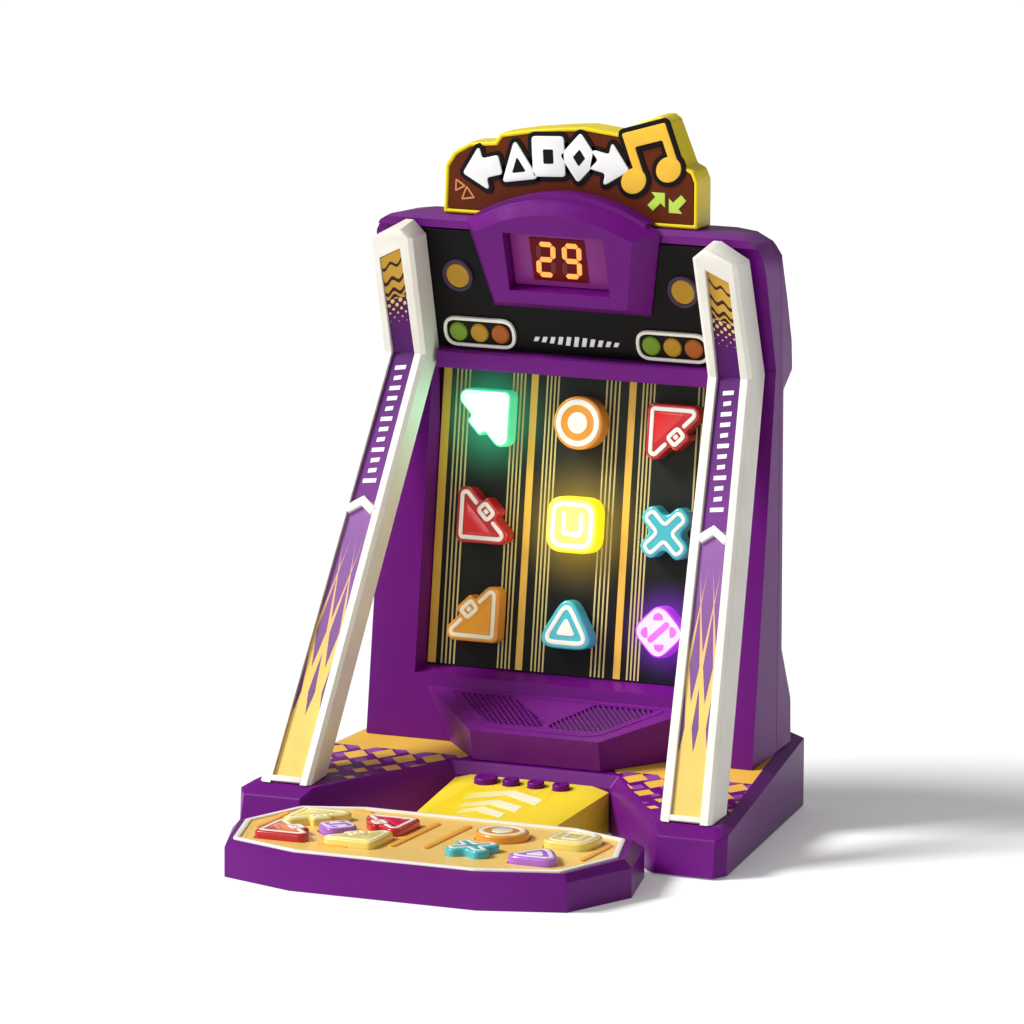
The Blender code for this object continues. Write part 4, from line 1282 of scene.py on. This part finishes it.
def add_rail_marks(side, strip):
    """The white bars across the slot, one an upside-down V and one at the foot, and the row of small bars."""
    piece = Piece("rail_marks_" + side)
    at = strip.bend * CHEVRON_AT
    half = strip.half(at) + 0.6
    points = [(-half, at - CHEVRON_RISE), (0, at), (half, at - CHEVRON_RISE)]
    piece.slab(strip, stroke(points, CHEVRON_BAR, round_ends=False), -0.6, 1.7, white, edge=0.5)
    half = strip.half(0.0) + 0.4
    piece.slab(strip, box_path(-half, half, 0.0, FOOT_BAR), -0.6, 1.5, white, edge=0.5)
    first, last = [strip.bend * share for share in MARK_BARS]
    for i in range(MARK_BAR_COUNT):
        along = first + (last - first) * i / (MARK_BAR_COUNT - 1)
        wide = 3.0 - 1.3 * abs(math.sin(i * 1.1))
        mark = [(-wide, along - 1.3), (wide, along - 0.6), (wide, along + 1.3), (-wide, along + 0.6)]
        piece.film(strip, mark, white_ink)
    piece.make()


def add_rails():
    strip = Strip("rail_insert_right")
    low_ink = ink_on_strip_low(strip.bend * CHEVRON_AT)
    high_ink_and_shade = ink_on_strip_high(strip.length)
    for side in ("left", "right"):
        add_rail_marks(side, add_rail_strip(side, low_ink, high_ink_and_shade))


# ---------------------------------------------------------------- speaker shelf


SHELF_BORDER = [(50.5, 58.6), (28.6, 38.2), (23.0, 36.2)]
MESH_AREA = [(-46.3, 57.6), (-20.0, 57.6), (0.8, 42.6), (0.8, 39.4), (-21.5, 39.2), (-28.0, 42.4)]
SLOT_AREA = [(17.6, 57.6), (45.6, 57.6), (30.0, 42.8), (24.6, 39.4), (3.4, 39.4), (3.4, 42.4)]
RIBS = (  # outline, slant in degrees, pitch and width
    (MESH_AREA, 45, 1.9, 0.75),
    (MESH_AREA, -45, 1.9, 0.75),
    (SLOT_AREA, -46, 1.85, 0.95),
)
POCKET_DEPTH = 1.3
RIB_DROP = 0.12  # the ribs' tops are this far under the pocket's rim


def chord(outline, origin, direction):
    """The part of a straight line that lies in a convex outline, as two points, or None."""
    low, high = -1e9, 1e9
    turn = 1.0 if area(outline) > 0 else -1.0
    for a, b in zip(outline, outline[1:] + outline[:1]):
        edge = Vector(b) - Vector(a)
        inward = Vector((-edge.y, edge.x)) * turn
        speed = inward.dot(direction)
        gap = inward.dot(Vector(a) - origin)
        if abs(speed) < 1e-9:
            if gap > 0:
                return None
        elif speed > 0:
            low = max(low, gap / speed)
        else:
            high = min(high, gap / speed)
    if high - low < 0.3:
        return None
    return origin + direction * low, origin + direction * high


def add_ribs(piece, top, outline, degrees, pitch, width):
    """Straight bars across a pocket."""
    direction = Vector((math.cos(math.radians(degrees)), math.sin(math.radians(degrees))))
    side = Vector((-direction.y, direction.x))
    places = [Vector(p).dot(side) for p in outline]
    half = side * width / 2
    for i in range(int((max(places) - min(places)) / pitch) + 1):
        ends = chord(outline, side * (min(places) + (i + 0.5) * pitch), direction)
        if ends:
            path = [tuple(p) for p in (ends[0] - half, ends[1] - half, ends[1] + half, ends[0] + half)]
            piece.slab(top, path, -POCKET_DEPTH - 0.2, -RIB_DROP, purple, edge=0.12, steps=1)


def cut(obj, tool):
    """Takes the tool's solid out of an object's mesh."""
    other = add_object("tool", tool.mesh())
    modifier = obj.modifiers.new("cut", "BOOLEAN")
    modifier.object = other
    modifier.solver = "EXACT"
    bpy.context.view_layer.update()
    graph = bpy.context.evaluated_depsgraph_get()
    obj.data = bpy.data.meshes.new_from_object(obj.evaluated_get(graph))
    obj.modifiers.clear()
    bpy.data.objects.remove(other)


def add_shelf():
    node = "speaker_shelf"
    top = Face(node, UP)
    points = corners(node)
    lowest = min(p.z for p in points)
    rings = []
    for group in ([p for p in points if p.z < lowest + 2.0], top.within(node)):
        right = [p for p in group if p.x > 0]
        ends = [min(right, key=lambda p: (p.y, -p.x)), max(right, key=lambda p: p.x)]
        rings.append([tuple(p) for p in ends] + [(-p.x, p.y, p.z) for p in reversed(ends)])
    body = Piece("shelf")
    body.loft(rings, purple)
    shelf = body.make(replaces=(node,))
    grille = Piece("speaker_grille")
    for outline in (MESH_AREA, SLOT_AREA):
        tool = Piece("tool")
        tool.loft([[top.at(a, b, out) for a, b in rounded(outline, 0.8, 3)] for out in (-POCKET_DEPTH, 3.0)], purple)
        cut(shelf, tool)
        low, high = -POCKET_DEPTH - 0.3, -POCKET_DEPTH + 0.25
        grille.slab(top, inset(outline, 0.2), low, high, black_plastic, edge=0.1, steps=1)
    soften(shelf, 0.7, dissolve=False)
    for outline, degrees, pitch, width in RIBS:
        add_ribs(grille, top, outline, degrees, pitch, width)
    border = SHELF_BORDER + [(-a, b) for a, b in reversed(SHELF_BORDER)]
    grille.band(top, rounded(border, 2.2, 5), 0.7, -0.3, 0.3, purple, edge=0.25)
    grille.make()


# ---------------------------------------------------------------- console


CONSOLE_CHEVRONS = (  # x, rear y and front y of each chevron's left end, tip and right end
    ((-17.4, 6.5, -3.3), (-1.4, 15.8, 8.4), (15.6, 7.2, -0.9)),
    ((-14.2, -6.4, -13.0), (-2.4, 1.7, -5.7), (11.4, -4.1, -11.7)),
    ((-11.2, -15.4, -21.6), (-4.2, -8.8, -15.4), (8.4, -15.0, -20.6)),
)
BUTTON_EDGE = 0.8
BUTTON_DISH = ((0.62, 0.12), (0.5, 0.42), (0.2, 0.5))  # share of the radius, and depth


def add_console():
    top = Face("console_shell", UP)
    piece = Piece("console_chevrons")
    for points in CONSOLE_CHEVRONS:
        path = [(x, rear) for x, rear, _ in points] + [(x, front) for x, _, front in reversed(points)]
        piece.film(top, path[::-1], pale_ink)
    piece.make()
    for i in range(1, 5):
        add_button("console_button_" + str(i), top)


def add_button(node, top):
    """A turned button with a soft shoulder and a shallow dish in its cap."""
    points = corners(node)
    low, high = min(map(top.height, points)), max(map(top.height, points))
    box_low, box_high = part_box(node)
    a = (box_low.x + box_high.x) / 2 / MM
    cap = [p for p in points if top.height(p) > high - 0.1]
    b = sum(p.y for p in cap) / len(cap)
    widest = max(abs(p.x - a) for p in points)
    radius = max(abs(p.x - a) for p in points if -1.0 < top.height(p) < high - 0.3)
    profile = [(widest, low), (widest, low + 1.0), (radius, low + 1.2), (radius, high - 0.9)]
    for across, up in arc(0.0, 0.0, BUTTON_EDGE, 18, 90, 4):
        profile.append((radius - BUTTON_EDGE + across, high - 0.9 + up))
    profile += [(radius * share, high - drop) for share, drop in BUTTON_DISH]
    piece = Piece(node.replace("console_button", "mode_button"))
    piece.loft([[top.at(x, y, out) for x, y in circle(a, b, r, 40)] for r, out in profile], purple)
    piece.make(body_of(node), replaces=(node,))


# ---------------------------------------------------------------- pad


PAD_LIP = 2.5  # width of the raised white lip round the pad
PAD_LEDGE = 3.0  # gold step inside it
PAD_OVERLAP = 0.3
PAD_LEDGE_DROP = 0.9
PAD_BARS = (
    ((-8.8, -89.4), (-8.8, -45.2), 3.2),
    ((5.0, -86.5), (5.0, -44.6), 3.2),
    ((-73.5, -80.0), (-73.5, -53.0), 2.8),
    ((71.5, -81.0), (71.5, -52.0), 2.8),
    ((-37.0, -98.7), (-25.0, -98.3), 1.8),
    ((-50.0, -35.9), (-42.5, -36.2), 1.8),
)
PAD_KEYS = {  # the key's shape, then its paints
    "arrow_front_left": ("arrow_down_left", red, mark_white, red_fill),
    "arrow_rear_left": ("arrow_up_left", pale_yellow, pale_mark, pale_yellow),
    "arrow_rear_right": ("arrow_up_right", red, mark_white, red_fill),
    "arrow_front_right": ("arrow_down_right", pale_yellow, pale_mark, pale_yellow),
    "ball": ("ball", violet_lens, lilac_mark, violet_lens, lilac_mark),
    "ring": ("ring", orange, pale_mark),
    "square": ("square", pale_yellow, pale_mark),
    "cross": ("cross", cyan, mark_white),
    "triangle": ("triangle", violet_lens, lilac_mark),
}


def add_pad():
    rim = Face("pad_rim", UP)
    outline = hull([(p.x, p.y) for p in rim.within("pad_rim")])
    low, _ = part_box("pad_rim")
    depth = low.z / MM - rim.offset
    edge = Piece("pad_edge")
    lip = rounded(inset(outline, PAD_LIP / 2), 2.0, 4)
    edge.band(rim, lip, PAD_LIP, depth, 0.0, white, edge=0.6)
    ledge = rounded(inset(outline, PAD_LIP + PAD_LEDGE / 2 - PAD_OVERLAP), 2.0, 4)
    edge.band(rim, ledge, PAD_LEDGE, depth, -PAD_LEDGE_DROP, pad_gold, edge=0.3)
    edge.make(replaces=("pad_rim",))
    plate = Face("pad_plate", UP)
    bars = Piece("pad_bars")
    for start, end, width in PAD_BARS:
        bars.line(plate, [start, end], width, -0.5, 0.7, orange_print, edge=0.5)
    bars.make()
    for name, (shape_name, *paints) in PAD_KEYS.items():
        make_token("pad_key_" + name, shape_name, UP, KEY_THICK, *paints)


# ---------------------------------------------------------------- stage, light and camera


FLOOR_REACH = 20.0  # metres
KEY_DIRECTION = (0.86, 0.48, -0.90)
KEY_POWER = 3.8
KEY_SPREAD = 20.0
SKY = 0.25
LIT_AT = (0.0, 0.0, 0.13)  # metres
AREA_LIGHTS = (  # place in metres, size and power
    ("front", (-0.4, -2.0, 0.9), 1.0, 6.0),
    ("rear", (-0.3, 1.4, 1.4), 0.6, 1.6),
)
GLOWS = (
    ("glow_mint", "screen_lamp_arrow_up_right", (0.3, 1.0, 0.7), 0.012),
    ("glow_yellow", "screen_lamp_square", (1.0, 0.8, 0.2), 0.02),
    ("glow_violet", "screen_lamp_ball", (0.6, 0.15, 1.0), 0.012),
)
GLOW_OUT = 12.0  # how far a glow's light is from the lamp's face
GLOW_RADIUS = 6.0


def add_stage():
    mesh = bpy.data.meshes.new("floor")
    ring = [(x, y, 0.0) for x, y in box_path(-FLOOR_REACH, FLOOR_REACH, -FLOOR_REACH, FLOOR_REACH)]
    mesh.from_pydata(ring, [], [(0, 1, 2, 3)])
    paint = Paint("pale_floor").finish((0.85, 0.85, 0.85), 0.9, wear=0.0, grain=0.0, variation=0.01)
    mesh.materials.append(paint.glow((1.0, 1.0, 1.0), 0.16).material)
    floor = add_object("floor", mesh)


def add_lamp(name, kind, power, place=(0.0, 0.0, 0.0), towards=None, **settings):
    """A light. towards is the direction it shines in."""
    data = bpy.data.lights.new(name, kind)
    data.energy = power
    for key, value in settings.items():
        setattr(data, key, value)
    light = add_object(name, data)
    light.location = place
    if towards:
        light.rotation_euler = Vector(towards).to_track_quat("-Z", "Y").to_euler()


def add_light():
    world = bpy.data.worlds.new("studio")
    world.use_nodes = True
    sky = world.node_tree.nodes["Background"]
    sky.inputs["Color"].default_value = (1.0, 1.0, 1.0, 1.0)
    sky.inputs["Strength"].default_value = SKY
    bpy.context.scene.world = world
    add_lamp("key", "SUN", KEY_POWER, towards=KEY_DIRECTION, angle=math.radians(KEY_SPREAD))
    for name, place, size, power in AREA_LIGHTS:
        add_lamp(name, "AREA", power, place, Vector(LIT_AT) - Vector(place), shape="DISK", size=size)
    for name, node, colour, power in GLOWS:
        face = Face(node, FRONT)
        place = face.at(*face.middle_of(node), GLOW_OUT) * MM
        add_lamp(name, "POINT", power, place, color=colour, shadow_soft_size=GLOW_RADIUS * MM)


CAMERA_PLACE = (1.3820, -3.1140, 0.7684)  # metres
CAMERA_TARGET = (-0.0038, 0.0180, 0.1360)
CAMERA_ROLL = 0.28
CAMERA_LENS = 295.8


def add_camera():
    data = bpy.data.cameras.new("camera")
    data.lens = CAMERA_LENS
    data.sensor_width = 36.0
    data.clip_start = 0.1
    data.clip_end = 100.0
    camera = add_object("camera", data)
    camera.location = CAMERA_PLACE
    look = (Vector(CAMERA_TARGET) - Vector(CAMERA_PLACE)).to_track_quat("-Z", "Y")
    camera.rotation_euler = look.to_euler()
    camera.rotation_euler.rotate_axis("Z", math.radians(CAMERA_ROLL))
    bpy.context.scene.camera = camera
    bpy.context.scene.view_settings.view_transform = "Standard"


add_mouldings()
add_screen_stripes()
add_lamps()
add_marquee()
add_display()
add_sign()
add_rails()
add_shelf()
add_console()
add_pad()
add_stage()
add_light()
add_camera()
